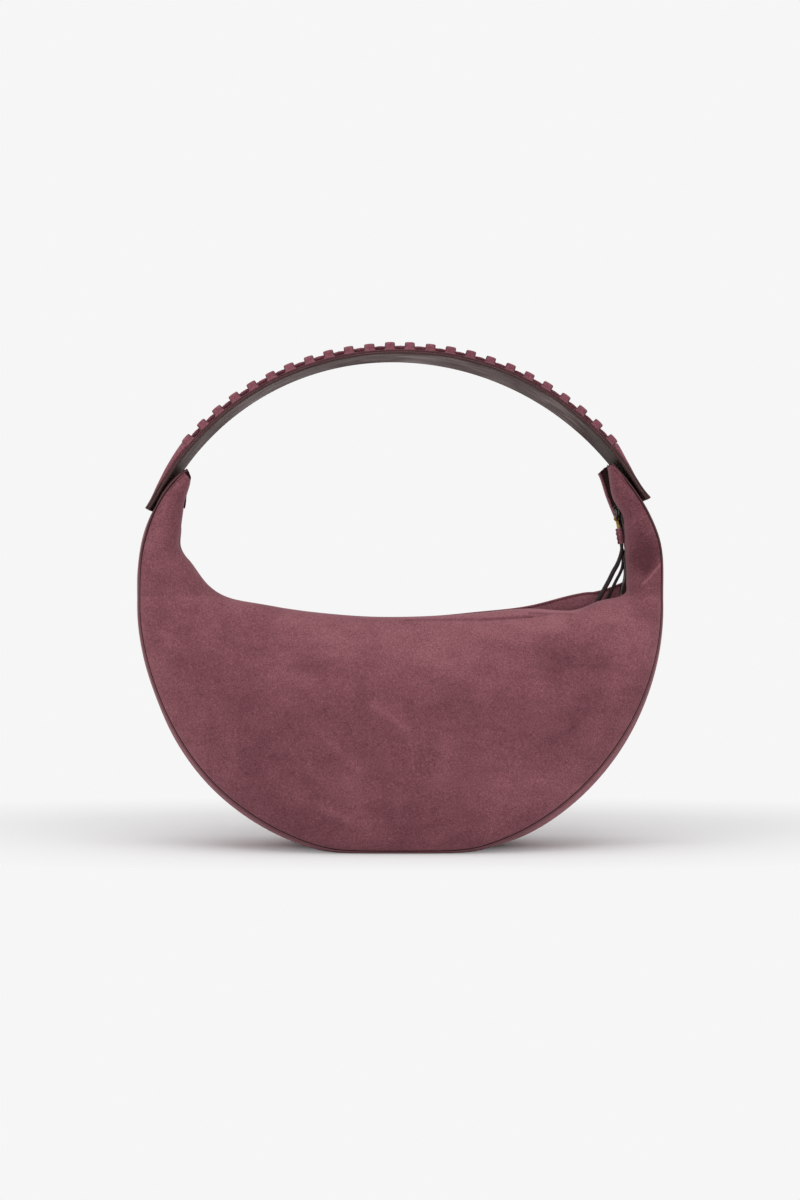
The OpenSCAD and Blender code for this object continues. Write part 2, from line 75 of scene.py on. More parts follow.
makeCamera()
bpy.context.scene.view_settings.view_transform = "Standard"


# Curves and surfaces

# A number held between 0 and 1
def clamp01(t):
    return np.clip(t, 0, 1)


# Smooth step: 3 t squared less 2 t cubed between 0 and 1, and level outside
def ease(t):
    t = clamp01(t)
    return t * t * (3 - 2 * t)


# Vectors over their own length
def unit(v):
    return v / np.maximum(np.linalg.norm(v, axis=-1, keepdims=True), 1e-9)


# Catmull-Rom curve through rows of numbers, at places counted in rows
def curveThrough(rows, places):
    rows = np.asarray(rows, float)
    last = len(rows) - 1
    i = np.minimum(np.floor(places).astype(int), last - 1)
    t = (places - i)[..., None]
    p0, p1, p2, p3 = (rows[np.clip(i + k, 0, last)] for k in (-1, 0, 1, 2))
    return p1 + t / 2 * (p2 - p0 + t * (2 * p0 - 5 * p1 + 4 * p2 - p3 + t * (3 * (p1 - p2) + p3 - p0)))


# Distance walked along a line of points, from 0 at its first point
def walked(points):
    return np.concatenate([[0], np.cumsum(np.linalg.norm(np.diff(points, axis=0), axis=-1))])


# Points read off a line of points at the distances asked
def readAt(distances, run, points):
    return np.stack([np.interp(distances, run, points[:, k]) for k in range(3)], -1)


# Places evenly spaced by length along a line of points
def evenly(points, count):
    run = walked(points)
    return readAt(np.linspace(0, run[-1], count), run, points)


# Two grids: the value of the row at each crossing, and that of the column
def gridOf(rows, columns):
    return np.meshgrid(rows, columns, indexing="ij")


# Sum of seven sine waves in random directions over 4, a gentle swell of about -1 to 1
def softWaves(x, z, length, seed):
    pick = np.random.default_rng(seed)
    turns = pick.uniform(0, np.pi, 7)
    phases = pick.uniform(0, 2 * np.pi, 7)
    rates = 2 * np.pi / (length * pick.uniform(0.7, 1.5, 7))
    total = sum(np.sin((x * np.cos(t) + z * np.sin(t)) * r + p) for t, p, r in zip(turns, phases, rates))
    return total / 4


# Smooth curve through a table whose first column is the place; gives the other columns at the places asked
def tableAt(rows, places):
    fine = curveThrough(rows, np.linspace(0, len(rows) - 1, 40 * len(rows)))
    return [np.interp(places, fine[:, 0], fine[:, k]) for k in range(1, fine.shape[1])]


# Unit normals of a grid: the cross product of its steps along rows and along columns
def normalsOf(grid):
    return unit(np.cross(np.gradient(grid, axis=0), np.gradient(grid, axis=1)))


# Distances walked along the rows and the columns of a grid, as a pattern's own two directions
def cutOf(grid):
    n, m = grid.shape[:2]
    v = walked(grid[n // 2])
    return np.stack(gridOf(walked(grid[:, m // 2]), v - v[-1] / 2), -1)


# Puts points and faces into a mesh. Faces come as lists of arrays; all are turned over if they enclose
# a negative volume, so that they point outwards
def putMesh(name, points, faces, finishList, cut=None, marks=None, faceSlots=None):
    volume = 0
    for part in faces:
        a = points[part[:, 0]]
        for k in range(1, part.shape[1] - 1):
            volume += np.einsum("ij,ij->", a, np.cross(points[part[:, k]], points[part[:, k + 1]]))
    if volume < 0:
        faces = [part[:, ::-1] for part in faces]
    mesh = bpy.data.meshes.new(name)
    mesh.from_pydata((points * mm).tolist(), [], [row for part in faces for row in part.tolist()])
    for finish in finishList:
        mesh.materials.append(finish)
    mesh.polygons.foreach_set("use_smooth", np.ones(len(mesh.polygons), bool))
    if faceSlots is not None:
        mesh.polygons.foreach_set("material_index", np.concatenate(faceSlots).astype(np.int32))
    if cut is not None:
        corners = np.zeros(len(mesh.loops), np.int32)
        mesh.loops.foreach_get("vertex_index", corners)
        layer = mesh.uv_layers.new(name="cut")
        layer.uv.foreach_set("vector", (cut * mm)[corners].astype(np.float32).ravel())
    for label, values in (marks or {}).items():
        mark = mesh.attributes.new(label, "FLOAT", "POINT")
        mark.data.foreach_set("value", values.astype(np.float32).ravel())
    mesh.set_sharp_from_angle(angle=np.radians(sharpFrom))
    obj = bpy.data.objects.new(name, mesh)
    bpy.context.collection.objects.link(obj)
    return obj


# Says what a piece rides on and hides the nodes that it stands for; its slot is not used
def seatPiece(obj, body, slot, *nodes):
    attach(obj, body)
    if nodes:
        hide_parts(*nodes)
    return obj


# Four-cornered faces between neighbours on n rows of m points, closed round if asked
def gridFaces(n, m, wrapAcross=False):
    i = np.arange(n - 1)[:, None]
    j = np.arange(m if wrapAcross else m - 1)[None]
    k = (j + 1) % m
    return np.stack([i * m + j, (i + 1) * m + j, (i + 1) * m + k, i * m + k], -1).reshape(-1, 4)


# Faces of n rings of m points: the walls between the rings and a flat face at each end
def closedTube(n, m):
    ring = np.arange(m)[None]
    return [gridFaces(n, m, wrapAcross=True), ring[:, ::-1], ring + (n - 1) * m]


# A sheet of a given thickness under its face. Each cross section runs over the face, round a
# half circle at the rim, back under the face and round the other rim; the two ends are closed flat
def leaf(name, face, thick, finishList, flip=False, marks=None, rims=3, rimSlot=0, rowSlots=0):
    normal = normalsOf(face) * (-1 if flip else 1)
    under = face - normal * thick
    n, m = face.shape[:2]
    turn = np.linspace(0, np.pi, rims + 2)[1:-1][None, :, None]

    def rim(edge, beside):
        out = face[:, edge] - face[:, beside]
        up = normal[:, edge]
        out = unit(out - (out * up).sum(-1, keepdims=True) * up)[:, None]
        return face[:, edge][:, None] + (out * np.sin(turn) - up[:, None] * (1 - np.cos(turn))) * thick / 2

    loop = np.concatenate([face, rim(-1, -2), under[:, ::-1], rim(0, 1)[:, ::-1]], 1)
    size = loop.shape[1]
    columns = np.concatenate([np.arange(m), np.full(rims, m - 1), np.arange(m)[::-1], np.zeros(rims, int)])
    cut = cutOf(face)[:, columns].reshape(-1, 2)
    # each end is closed by a strip of faces between face and underside, and one face at each rim
    j = np.arange(m - 1)
    back = 2 * m + rims - 1
    strip = np.stack([j, j + 1, back - j - 1, back - j], -1)
    rimA = np.arange(m - 1, m + rims + 1)[None]
    rimB = np.concatenate([np.arange(back, size), [0]])[None]
    faces = [gridFaces(n, size, wrapAcross=True)]
    for end in (strip, rimA, rimB):
        faces += [end[:, ::-1], end + (n - 1) * size]
    slots = None
    if len(finishList) > 1:
        onRim = np.zeros(size, bool)
        onRim[m - 1:m + rims] = True
        onRim[back:] = True
        rows = np.broadcast_to(rowSlots, n - 1)
        rimRows = np.maximum(np.broadcast_to(rimSlot, n - 1), rows)
        slots = [np.where(onRim[None], rimRows[:, None], rows[:, None]).ravel()]
        slots += [np.full(len(part), rimRows[-(k % 2)]) for k, part in enumerate(faces[1:])]
    packed = {label: values[:, columns] for label, values in (marks or {}).items()}
    return putMesh(name, loop.reshape(-1, 3), faces, finishList, cut, packed, faceSlots=slots)


# A leaf that is a piece of the bag by itself
def sewn(name, node, slot, face, thick, finishList, **looks):
    return seatPiece(leaf(name, face, thick, finishList, **looks), "bag", slot, node)


# A tube round a path: each ring of the profile holds [across, up] points in the frame of the path
def tube(name, path, profile, finish, marks=None):
    ahead = unit(np.gradient(path, axis=0))
    side = unit(acrossBag - (acrossBag * ahead).sum(-1, keepdims=True) * ahead)
    up = np.cross(side, ahead)
    points = path[:, None] + side[:, None] * profile[..., 0:1] + up[:, None] * profile[..., 1:2]
    cut = np.stack(gridOf(walked(path), walked(profile[0])), -1).reshape(-1, 2)
    return putMesh(name, points.reshape(-1, 3), closedTube(*points.shape[:2]), [finish], cut, marks)


# Points at even angles round a circle
def circle(radius, sides):
    t = np.arange(sides) * 2 * np.pi / sides
    return np.stack([np.cos(t) * radius, np.sin(t) * radius], -1)


# Copies of one small shape, each set in its own frame of origin, ahead, side and up
def copies(name, shape, shapeFaces, origins, ahead, side, up, finish):
    points = (origins[:, None] + ahead[:, None] * shape[None, :, 0:1] + side[:, None] * shape[None, :, 1:2]
              + up[:, None] * shape[None, :, 2:3])
    steps = (np.arange(len(origins)) * len(shape))[:, None, None]
    faces = [(part[None] + steps).reshape(-1, part.shape[1]) for part in shapeFaces]
    return putMesh(name, points.reshape(-1, 3), faces, [finish])


# A block rounded off at both ends and along its edges: rings of a rounded rectangle, smaller at the ends
def roundedBlock(length, width, height, softness, sides=8):
    t = (np.arange(sides) + 0.5) * 2 * np.pi / sides
    ringY = np.sign(np.cos(t)) * np.abs(np.cos(t)) ** 0.5
    ringZ = np.sign(np.sin(t)) * np.abs(np.sin(t)) ** 0.5
    end = softness / 2
    rings = [np.stack([np.full(sides, x * length), ringY * share * width / 2, ringZ * share * height / 2], -1)
             for x, share in ((-0.5, 1 - softness), (-0.5 + end, 1), (0.5 - end, 1), (0.5, 1 - softness))]
    return np.concatenate(rings), closedTube(4, sides)


# Finishes

# A node group. An input of three numbers is a vector, one of four a colour, and Color is the only output
# that is a colour
def newGroup(name, inputs, outputs):
    group = bpy.data.node_groups.new(name, "ShaderNodeTree")
    for label, value in inputs.items():
        kind = {3: "Vector", 4: "Color"}.get(np.size(value), "Float")
        socket = group.interface.new_socket(label, in_out="INPUT", socket_type="NodeSocket" + kind)
        socket.default_value = value
    for label in outputs:
        kind = "Color" if label == "Color" else "Float"
        group.interface.new_socket(label, in_out="OUTPUT", socket_type="NodeSocket" + kind)
    return group, group.nodes.new("NodeGroupInput").outputs, group.nodes.new("NodeGroupOutput")


# Sets or links a node's inputs; i0 is its first one, and an underscore stands for a space
def fed(tree, node, **inputs):
    for label, value in inputs.items():
        counted = label[0] == "i" and label[1:].isdigit()
        socket = node.inputs[int(label[1:]) if counted else label.replace("_", " ")]
        if hasattr(value, "links"):
            tree.links.new(value, socket)
        else:
            socket.default_value = value
    return node


def addNode(tree, kind, settings=None, **inputs):
    node = tree.nodes.new("ShaderNode" + kind)
    for label, value in (settings or {}).items():
        setattr(node, label, value)
    return fed(tree, node, **inputs)


# Small sums of sockets
def mathOf(tree, operation, a, b=0.0):
    return addNode(tree, "Math", {"operation": operation}, i0=a, i1=b).outputs[0]


def mixOf(tree, share, a, b):
    return addNode(tree, "Mix", {"data_type": "RGBA"}, i0=share, i6=a, i7=b).outputs[2]


def rangeOf(tree, value, low, high, toLow=0.0, toHigh=1.0):
    return addNode(tree, "MapRange", {"clamp": True}, Value=value, From_Min=low, From_Max=high,
                   To_Min=toLow, To_Max=toHigh).outputs[0]


# Values of a noise
def noiseOf(tree, place, scale, detail, roughness=0.5, distortion=0.0):
    return addNode(tree, "TexNoise", None, Vector=place, Scale=scale, Detail=detail, Roughness=roughness,
                   Distortion=distortion).outputs["Fac"]


def product(tree, a, b):
    return mathOf(tree, "MULTIPLY", a, b)


def total(tree, a, b):
    return mathOf(tree, "ADD", a, b)


# A noise about its middle, times an amount
def swing(tree, noise, amount):
    return product(tree, mathOf(tree, "SUBTRACT", noise, 0.5), amount)


# Suede: wide clouds where the nap was brushed one way or the other, streaks, tufts and fine fibres
nap = {  # each noise is scale, detail, roughness and distortion; its tone is how much it lightens
    "clouds": (12.0, 4.0, 0.6, 0.9), "cloudTone": 3.0,
    "streaks": (38.0, 4.0, 0.6), "streakTone": 1.3,
    "streakLean": (0, -0.5, 0), "streakStretch": (1.0, 1.0, 2.6),
    "tufts": (520.0, 3.0, 0.7), "tuftTone": 1.9, "tuftHeight": 0.7,
    "fibres": (1150.0, 3.0, 0.8), "fibreTone": 6.5, "fibreHeight": 0.5,
    "fullTone": 1.6,
}


def suedeGroup():
    group, given, result = newGroup(
        "suedeNap",
        {"Vector": (0, 0, 0), "Base": (0.2, 0.07, 0.09, 1), "Brushed": (0.26, 0.1, 0.12, 1),
         "Rubbed": (0.15, 0.05, 0.07, 1), "Cloudiness": 1.0, "Patch": 0.0},
        ("Color", "Height"))
    place = given["Vector"]
    drawn = addNode(group, "Mapping", None, Vector=place, Rotation=nap["streakLean"],
                    Scale=nap["streakStretch"])
    clouds = swing(group, noiseOf(group, place, *nap["clouds"]), nap["cloudTone"])
    streaks = swing(group, noiseOf(group, drawn.outputs[0], *nap["streaks"]), nap["streakTone"])
    tufts = noiseOf(group, place, *nap["tufts"])
    fibres = noiseOf(group, place, *nap["fibres"])
    cloud = product(group, total(group, clouds, streaks), given["Cloudiness"])
    hair = total(group, swing(group, tufts, nap["tuftTone"]), swing(group, fibres, nap["fibreTone"]))
    # Patch carries painted highlights and painted shade on the panels as well as the nap's tone: the light
    # colour shows both brushed nap and painted light, the dark colour both rubbed nap and painted shade
    tone = total(group, total(group, cloud, given["Patch"]), hair)
    lighter = mixOf(group, rangeOf(group, tone, 0.0, nap["fullTone"]), given["Base"], given["Brushed"])
    color = mixOf(group, rangeOf(group, tone, 0.0, -nap["fullTone"]), lighter, given["Rubbed"])
    height = total(group, product(group, tufts, nap["tuftHeight"]),
                   product(group, fibres, nap["fibreHeight"]))
    fed(group, result, Color=color, Height=height)
    return group


# Leather grain: cells of a fine pebble, with pores and slow changes of tone and gloss
skin = {
    "toneDetail": 5.0, "toneRoughness": 0.65, "wornFrom": 0.35, "wornTo": 0.72,
    "pores": (2400.0, 2.0), "poreHeight": 0.35,
    "glossFrom": 0.3, "glossTo": 0.75, "dull": 0.62, "smooth": 0.4,
}


def grainGroup():
    group, given, result = newGroup(
        "leatherGrain",
        {"Vector": (0, 0, 0), "Base": (0.1, 0.1, 0.1, 1), "Worn": (0.15, 0.15, 0.15, 1), "Grain": 900.0,
         "Tone": 30.0},
        ("Color", "Height", "Gloss"))
    place = given["Vector"]
    cells = addNode(group, "TexVoronoi", {"feature": "SMOOTH_F1"}, Vector=place, Scale=given["Grain"])
    tone = noiseOf(group, place, given["Tone"], skin["toneDetail"], skin["toneRoughness"])
    pores = noiseOf(group, place, *skin["pores"])
    worn = rangeOf(group, tone, skin["wornFrom"], skin["wornTo"])
    height = total(group, cells.outputs["Distance"], product(group, pores, skin["poreHeight"]))
    gloss = rangeOf(group, tone, skin["glossFrom"], skin["glossTo"], skin["dull"], skin["smooth"])
    fed(group, result, Color=mixOf(group, worn, given["Base"], given["Worn"]), Height=height, Gloss=gloss)
    return group


# Woven cloth: two sets of ribs crossing, drawn on the piece's own cut
weave = {"turn": 3.0, "ribShare": 0.7, "fuzz": (700.0, 3.0), "fuzzShare": 0.3}


def weaveGroup():
    group, given, result = newGroup(
        "wovenCloth",
        {"Vector": (0, 0, 0), "Warp": (0.1, 0.1, 0.1, 1), "Weft": (0.1, 0.1, 0.1, 1), "Threads": 1400.0},
        ("Color", "Height"))
    scaled = addNode(group, "VectorMath", {"operation": "SCALE"}, i0=given["Vector"], Scale=given["Threads"])
    parts = addNode(group, "SeparateXYZ", None, Vector=scaled.outputs[0])
    warp, weft = (mathOf(group, "SINE", product(group, parts.outputs[k], weave["turn"])) for k in (0, 1))
    ribs = rangeOf(group, product(group, warp, weft), -1.0, 1.0)
    share = total(group, product(group, ribs, weave["ribShare"]),
                  product(group, noiseOf(group, given["Vector"], *weave["fuzz"]), weave["fuzzShare"]))
    fed(group, result, Color=mixOf(group, share, given["Warp"], given["Weft"]), Height=share)
    return group


groups = {"suede": suedeGroup(), "grain": grainGroup(), "weave": weaveGroup()}


def newFinish(name, **settings):
    finish = bpy.data.materials.new(name)
    finish.use_nodes = True
    tree = finish.node_tree
    return finish, tree, fed(tree, tree.nodes["Principled BSDF"], **settings)


def bumpOf(tree, height, strength, distance):
    return addNode(tree, "Bump", None, Height=height, Strength=strength, Distance=distance * mm).outputs[0]


def objectPlace(tree):
    return addNode(tree, "TexCoord").outputs["Object"]


def cutPlace(tree):
    return addNode(tree, "UVMap", {"uv_map": "cut"}).outputs[0]


def patchOf(tree):
    return addNode(tree, "Attribute", {"attribute_name": "patch"}).outputs["Fac"]


def groupNode(tree, kind, **inputs):
    node = tree.nodes.new("ShaderNodeGroup")
    node.node_tree = groups[kind]
    return fed(tree, node, **inputs).outputs


# Strength of each finish's relief, and its depth in mm; that of suede is given for each suede
bumps = {"suede": 0.55, "leather": (0.5, 0.12), "cloth": (0.6, 0.15), "metal": (0.2, 0.05)}

suedeTones = {
    "panel": {"Base": (0.205, 0.0700, 0.0880, 1), "Brushed": (0.347, 0.138, 0.159, 1),
              "Rubbed": (0.093, 0.030, 0.038, 1)},
    "strap": {"Base": (0.225, 0.0720, 0.0960, 1), "Brushed": (0.376, 0.154, 0.178, 1),
              "Rubbed": (0.092, 0.026, 0.036, 1)},
    "lace": {"Base": (0.190, 0.0560, 0.0760, 1), "Brushed": (0.386, 0.141, 0.169, 1),
             "Rubbed": (0.030, 0.006, 0.009, 1)},
    "cut": {"Base": (0.092, 0.0340, 0.0400, 1), "Brushed": (0.168, 0.066, 0.076, 1),
            "Rubbed": (0.026, 0.009, 0.012, 1)},
}


def suedeFinish(name, tones, cloudiness=1.0, depth=0.35, marked=False):
    finish, tree, shader = newFinish(
        name, Roughness=0.92, Specular_IOR_Level=0.12, Sheen_Weight=0.22, Sheen_Roughness=0.45,
        Sheen_Tint=(0.9, 0.62, 0.66, 1))
    fur = groupNode(tree, "suede", Vector=objectPlace(tree), Cloudiness=cloudiness,
                    Patch=patchOf(tree) if marked else 0.0, **suedeTones[tones])
    fed(tree, shader, Base_Color=fur["Color"], Normal=bumpOf(tree, fur["Height"], bumps["suede"], depth))
    return finish


# Painted highlights along the folds of the lining, drawn along its cut: they show where both the narrow and
# the wide noise are high
foldHighlights = {
    "lean": (0, 0, 0.5), "stretch": (34, 150, 1),
    "narrow": (1.0, 3.0, 0.55), "narrowFrom": 0.44, "narrowTo": 0.68,
    "wide": (17.0, 2.0), "wideFrom": 0.35, "wideTo": 0.65,
}


def leatherFinish(name, base, worn, grain=900.0, tone=30.0, streaks=None, gloss=0.2, marked=None):
    finish, tree, shader = newFinish(name, Specular_IOR_Level=gloss)
    hide = groupNode(tree, "grain", Vector=objectPlace(tree), Base=base, Worn=worn, Grain=grain, Tone=tone)
    color = hide["Color"]
    # streaks is the colour of painted highlights along the folds
    if streaks:
        cut = cutPlace(tree)
        drawn = addNode(tree, "Mapping", None, Vector=cut, Rotation=foldHighlights["lean"], Scale=foldHighlights["stretch"])
        narrow = noiseOf(tree, drawn.outputs[0], *foldHighlights["narrow"])
        wide = noiseOf(tree, cut, *foldHighlights["wide"])
        share = product(tree, rangeOf(tree, narrow, foldHighlights["narrowFrom"], foldHighlights["narrowTo"]),
                        rangeOf(tree, wide, foldHighlights["wideFrom"], foldHighlights["wideTo"]))
        color = mixOf(tree, share, color, streaks)
    if marked:
        color = mixOf(tree, rangeOf(tree, patchOf(tree), 0.0, 1.0), color, marked)
    fed(tree, shader, Base_Color=color, Roughness=hide["Gloss"],
        Normal=bumpOf(tree, hide["Height"], *bumps["leather"]))
    return finish


def clothFinish(name, warp, weft, threads=1400.0):
    finish, tree, shader = newFinish(name, Roughness=0.9, Specular_IOR_Level=0.03, Sheen_Weight=0.02)
    cloth = groupNode(tree, "weave", Vector=cutPlace(tree), Warp=warp, Weft=weft, Threads=threads)
    fed(tree, shader, Base_Color=cloth["Color"], Normal=bumpOf(tree, cloth["Height"], *bumps["cloth"]))
    return finish


# Metal: a patina of noise darkens it and makes it rougher, by spread at most
patina = {"noise": (420.0, 5.0, 0.65), "darkFrom": 0.38, "roughFrom": 0.35, "to": 0.7, "spread": 0.25}


def metalFinish(name, color, tarnish, roughness):
    finish, tree, shader = newFinish(name, Metallic=1.0)
    noise = noiseOf(tree, objectPlace(tree), *patina["noise"])
    dark = rangeOf(tree, noise, patina["darkFrom"], patina["to"])
    rough = rangeOf(tree, noise, patina["roughFrom"], patina["to"], roughness, roughness + patina["spread"])
    fed(tree, shader, Base_Color=mixOf(tree, dark, color, tarnish), Roughness=rough,
        Normal=bumpOf(tree, noise, *bumps["metal"]))
    return finish


finishes = {
    "suede": suedeFinish("suede", "panel", marked=True),
    "strapSuede": suedeFinish("strapSuede", "strap", cloudiness=0.5),
    "lace": suedeFinish("laceSuede", "lace", cloudiness=0.6, depth=0.6),
    "cutSuede": suedeFinish("cutSuede", "cut", cloudiness=0.5, depth=0.2),
    "edge": leatherFinish("edgePaint", (0.048, 0.020, 0.020, 1), (0.080, 0.036, 0.036, 1), tone=60.0),
    "welt": leatherFinish("weltLeather", (0.022, 0.008, 0.009, 1), (0.046, 0.019, 0.021, 1), tone=60.0,
                          gloss=0.0),
    "piping": leatherFinish("pipingLeather", (0.030, 0.011, 0.012, 1), (0.055, 0.023, 0.025, 1), tone=60.0,
                            gloss=0.08, marked=(0.210, 0.088, 0.100, 1)),
    "seamLine": leatherFinish("seamLine", (0.150, 0.078, 0.080, 1), (0.22, 0.12, 0.12, 1), tone=90.0,
                              gloss=0.1),
    # the handle's lining: streaks are painted highlights along its folds, and marked is painted shade towards
    # its ends
    "strapLining": leatherFinish("strapLeather", (0.074, 0.045, 0.044, 1), (0.136, 0.098, 0.096, 1),
                                 tone=24.0, streaks=(0.270, 0.215, 0.205, 1), gloss=0.03,
                                 marked=(0.036, 0.018, 0.015, 1)),
    "strand": leatherFinish("strandLeather", (0.018, 0.012, 0.012, 1), (0.045, 0.026, 0.025, 1), tone=90.0),
    "lining": clothFinish("liningCloth", (0.11, 0.08, 0.068, 1), (0.075, 0.054, 0.046, 1)),
    "tape": clothFinish("zipTape", (0.026, 0.013, 0.013, 1), (0.048, 0.026, 0.026, 1), threads=2600.0),
    "metal": metalFinish("darkMetal", (0.12, 0.112, 0.105, 1), (0.045, 0.040, 0.038, 1), 0.28),
    "brass": metalFinish("agedBrass", (0.46, 0.33, 0.12, 1), (0.20, 0.13, 0.045, 1), 0.30),
    "thread": leatherFinish("thread", (0.075, 0.044, 0.045, 1), (0.120, 0.078, 0.078, 1), grain=3000.0,
                            tone=200.0),
}
print("finishes made")


# Cords: the two leather strands of the zip pull, along the routes of the part

pull = {
    "bailHinge": (163.858, 0, 255.998), "ringHinge": (164.550, 0, 248.931),
    "collarEnd": (168.265, 0, 229.808), "ringLean": 5.6, "barLean": 14, "collarLean": 8.9,
    "ringWire": 1.5, "ringL": 7.1, "barL": 8, "collarL": 11.5,
    "strandD": 2.4, "strandY": 1.5, "strandTip": 0.8,  # the tip's share of the diameter
    "strandFlat": 0.45, "strandThin": 0.25, "flatWithin": 0.4,  # the front one: wider, thinner, by this share
    "frontRoute": [(168.4, -1.5, 228.5), (168, -1.6, 224), (166.6, -1.8, 218.4), (164.6, -2, 213.4),
                   (162, -2.1, 208.9), (158.6, -2.2, 202), (154.9, -2.2, 195.2), (151.6, -2.1, 189.2),
                   (149, -1.9, 184.9), (147.6, -1.8, 182.6)],
    "backRoute": [(168.5, 1.6, 228.3), (169.4, 1.7, 224), (169.8, 1.8, 218.5), (169.3, 1.8, 212.5),
                  (167.6, 1.8, 207.6), (164.8, 1.7, 202.3), (161.5, 1.6, 195.6), (159, 1.5, 190.4),
                  (157.2, 1.4, 186.8)],
}


# A strand is a smooth tube through its route; the front one is cut flatter and wider below the collar
def strand(name, node, side, route):
    start = np.array(pull["collarEnd"]) + (0, side * pull["strandY"], 0)
    rows = np.concatenate([[start], route])
    path = evenly(curveThrough(rows, np.linspace(0, len(rows) - 1, 400)), 90)
    share = np.linspace(0, 1, len(path))
    flat = pull["strandFlat"] * ease(share / pull["flatWithin"]) * (side < 0)
    radius = pull["strandD"] / 2 * np.stack([1 - pull["strandThin"] * flat, 1 + flat], -1)
    radius[-1] *= pull["strandTip"]
    obj = tube(name, path, circle(1, 14)[None] * radius[:, None], finishes["strand"])
    seatPiece(obj, "tassel", "strand_leather", node)


strand("frontStrand", "front_strand", -1, pull["frontRoute"])
strand("backStrand", "back_strand", 1, pull["backRoute"])


# Body of the bag

bag = {
    "seamR": 192, "basePress": 6.5, "baseSoft": 4, "weltD": 1.8, "suede": 1.6, "lining": 0.8,
    "baseHalf": 34, "tipHalf": 20, "belly": 14, "sideSwell": 6, "cornerSwell": 3.4, "tipSwell": 2.4,
    "leftTip": 30, "rightTip": 33, "riseFrom": 14, "seamRise": 0.021, "leftFall": 0.068, "rightFall": 0.044,
    "leftPower": 2.2, "rightPower": 1.6, "foldPower": 3.2, "mouthGap": 11, "seat": 0.15, "layerGap": 0.7,
    "leftLean": 5, "leanFrom": 0.354, "leanSpan": 0.115, "facing": 1.4,
    # the angle of the seam across from the mouth's edge, then x and z of that edge as shares of seamR
    "mouthShares": [
        (148.4, -0.829, 0.460), (158, -0.842, 0.372), (167, -0.856, 0.285), (176, -0.858, 0.212),
        (186, -0.815, 0.145), (197, -0.752, 0.060), (209, -0.672, 0.012), (224, -0.540, -0.014),
        (241, -0.350, -0.044), (258, -0.130, -0.062), (275, 0.090, -0.0615), (292, 0.300, -0.052),
        (309, 0.500, -0.044), (324, 0.670, -0.042), (337, 0.775, -0.025), (347, 0.852, 0.018),
        (356, 0.886, 0.085), (365, 0.885, 0.165), (373, 0.875, 0.255), (380, 0.850, 0.335),
        (386, 0.822, 0.410), (393, 0.818, 0.525)],
    # angle, how far the sewn seam lies outside the pattern's line, and how much flatter the gusset is there
    "seamTrim": [
        (150, 5.5, 4.5), (155, 2.4, 2.8), (160, 0.2, 0.6), (165, -0.8, 0.1), (170, -0.1, 1.3),
        (176, 1.2, 1.8), (184, 1.4, 2.4), (192, 0.6, 2.7), (202, 0.0, 3.4), (212, 0.3, 2.8), (225, 0.8, 2.6),
        (240, 0.0, 2.2), (252, -0.4, 2.2), (262, 0.4, 0.4), (278, 0.4, 0.4), (290, 0.0, 2.8), (300, 0.4, 1.2),
        (322, 0.6, 1.4), (338, 1.6, 2.6), (352, 2.2, 2.9), (368, 2.2, 2.9), (378, 1.2, 2.0), (386, 0.6, 0.6),
        (393, 0.6, 0.6)],
    # place along the mouth in rows, then how far its soft edge has moved in x and z: front and back
    "frontLip": [
        (0, 3, 5), (0.25, 2.5, 2.5), (0.5, 1, 1), (0.75, -0.4, 0), (1, -1, 0), (2, -0.4, 0), (3, -1, 0),
        (5, 0, 0), (8, 0, 0), (10, 0, 0), (11, 0, 0.8), (12, 0, 2.6), (13, 0, 0.7), (14, 1, 4.2),
        (15, 5.5, 1.0), (16, 0.6, -1), (17, 0, 0), (18, 1.8, 0), (19, 5.1, 0), (20, 2.6, 0), (21, -0.4, 0)],
    "backLip": [
        (0, 0, 4), (1, -5.5, 0), (2, -3.4, 0), (3, -3, 0), (4, -2, -1), (5, -1, -1), (6, 0, -1), (8, 0, 0),
        (10, 0, 0), (11, 0, 1.5), (12, 0, 4.3), (13, 0, 12), (14, 0, 13), (15, 0, 8.5), (16, 2.4, 0.8),
        (17, 3, 0), (18, 2.5, 0), (19, 0.8, 0), (20, 0.4, 0), (21, -5.2, -3.8)],
    "leastSwell": 0.3, "swellPower": 2.4, "weltR": 0.8, "paintedEnd": 0.13,
    "wallGap": 1.1, "wallRows": 14, "wallFold": 0.98, "wallTuck": 0.9,
    "liningReach": 0.43, "pocketReach": 0.12, "pocketShares": (0.383, 0.831),
    "along": 400, "across": 110, "acrossCrowd": 1.3,
    "neckCrowd": (14, 19, 1.8), "tipCrowd": (2, 1.2),  # rows of the mouth where places lie so much closer
}
centreZ = bag["seamR"] - bag["basePress"] + bag["weltD"] / 2
lastRow = len(bag["mouthShares"]) - 1


# Cosine and sine of degrees
def cosd(a):
    return np.cos(np.radians(a))


def sind(a):
    return np.sin(np.radians(a))


# The mouth's table at place s, on a smooth curve through its rows
def rowAt(s):
    return curveThrough(bag["mouthShares"], s)


# The seam's radius rises a little beside the centre and falls in to the tips
def seamRadius(a):
    e = np.abs(a - 270) - 90
    left = a < 270
    tip = np.where(left, bag["leftTip"], bag["rightTip"])
    drop = np.where(left, bag["leftFall"], bag["rightFall"])
    power = np.where(left, bag["leftPower"], bag["rightPower"])
    rise = bag["seamRise"] * (1 - cosd(180 * clamp01(e / bag["riseFrom"]))) / 2
    past = np.maximum(e - bag["riseFrom"], 0) / (tip - bag["riseFrom"])
    return bag["seamR"] * (1 + rise - drop * past ** power) + tableAt(bag["seamTrim"], a)[0]


# 1 at the base down to 0 at the right tip: a cosine of the angle away from straight down
def baseShare(a):
    return cosd(90 * np.minimum(np.abs(a - 270) / (90 + bag["rightTip"]), 1))


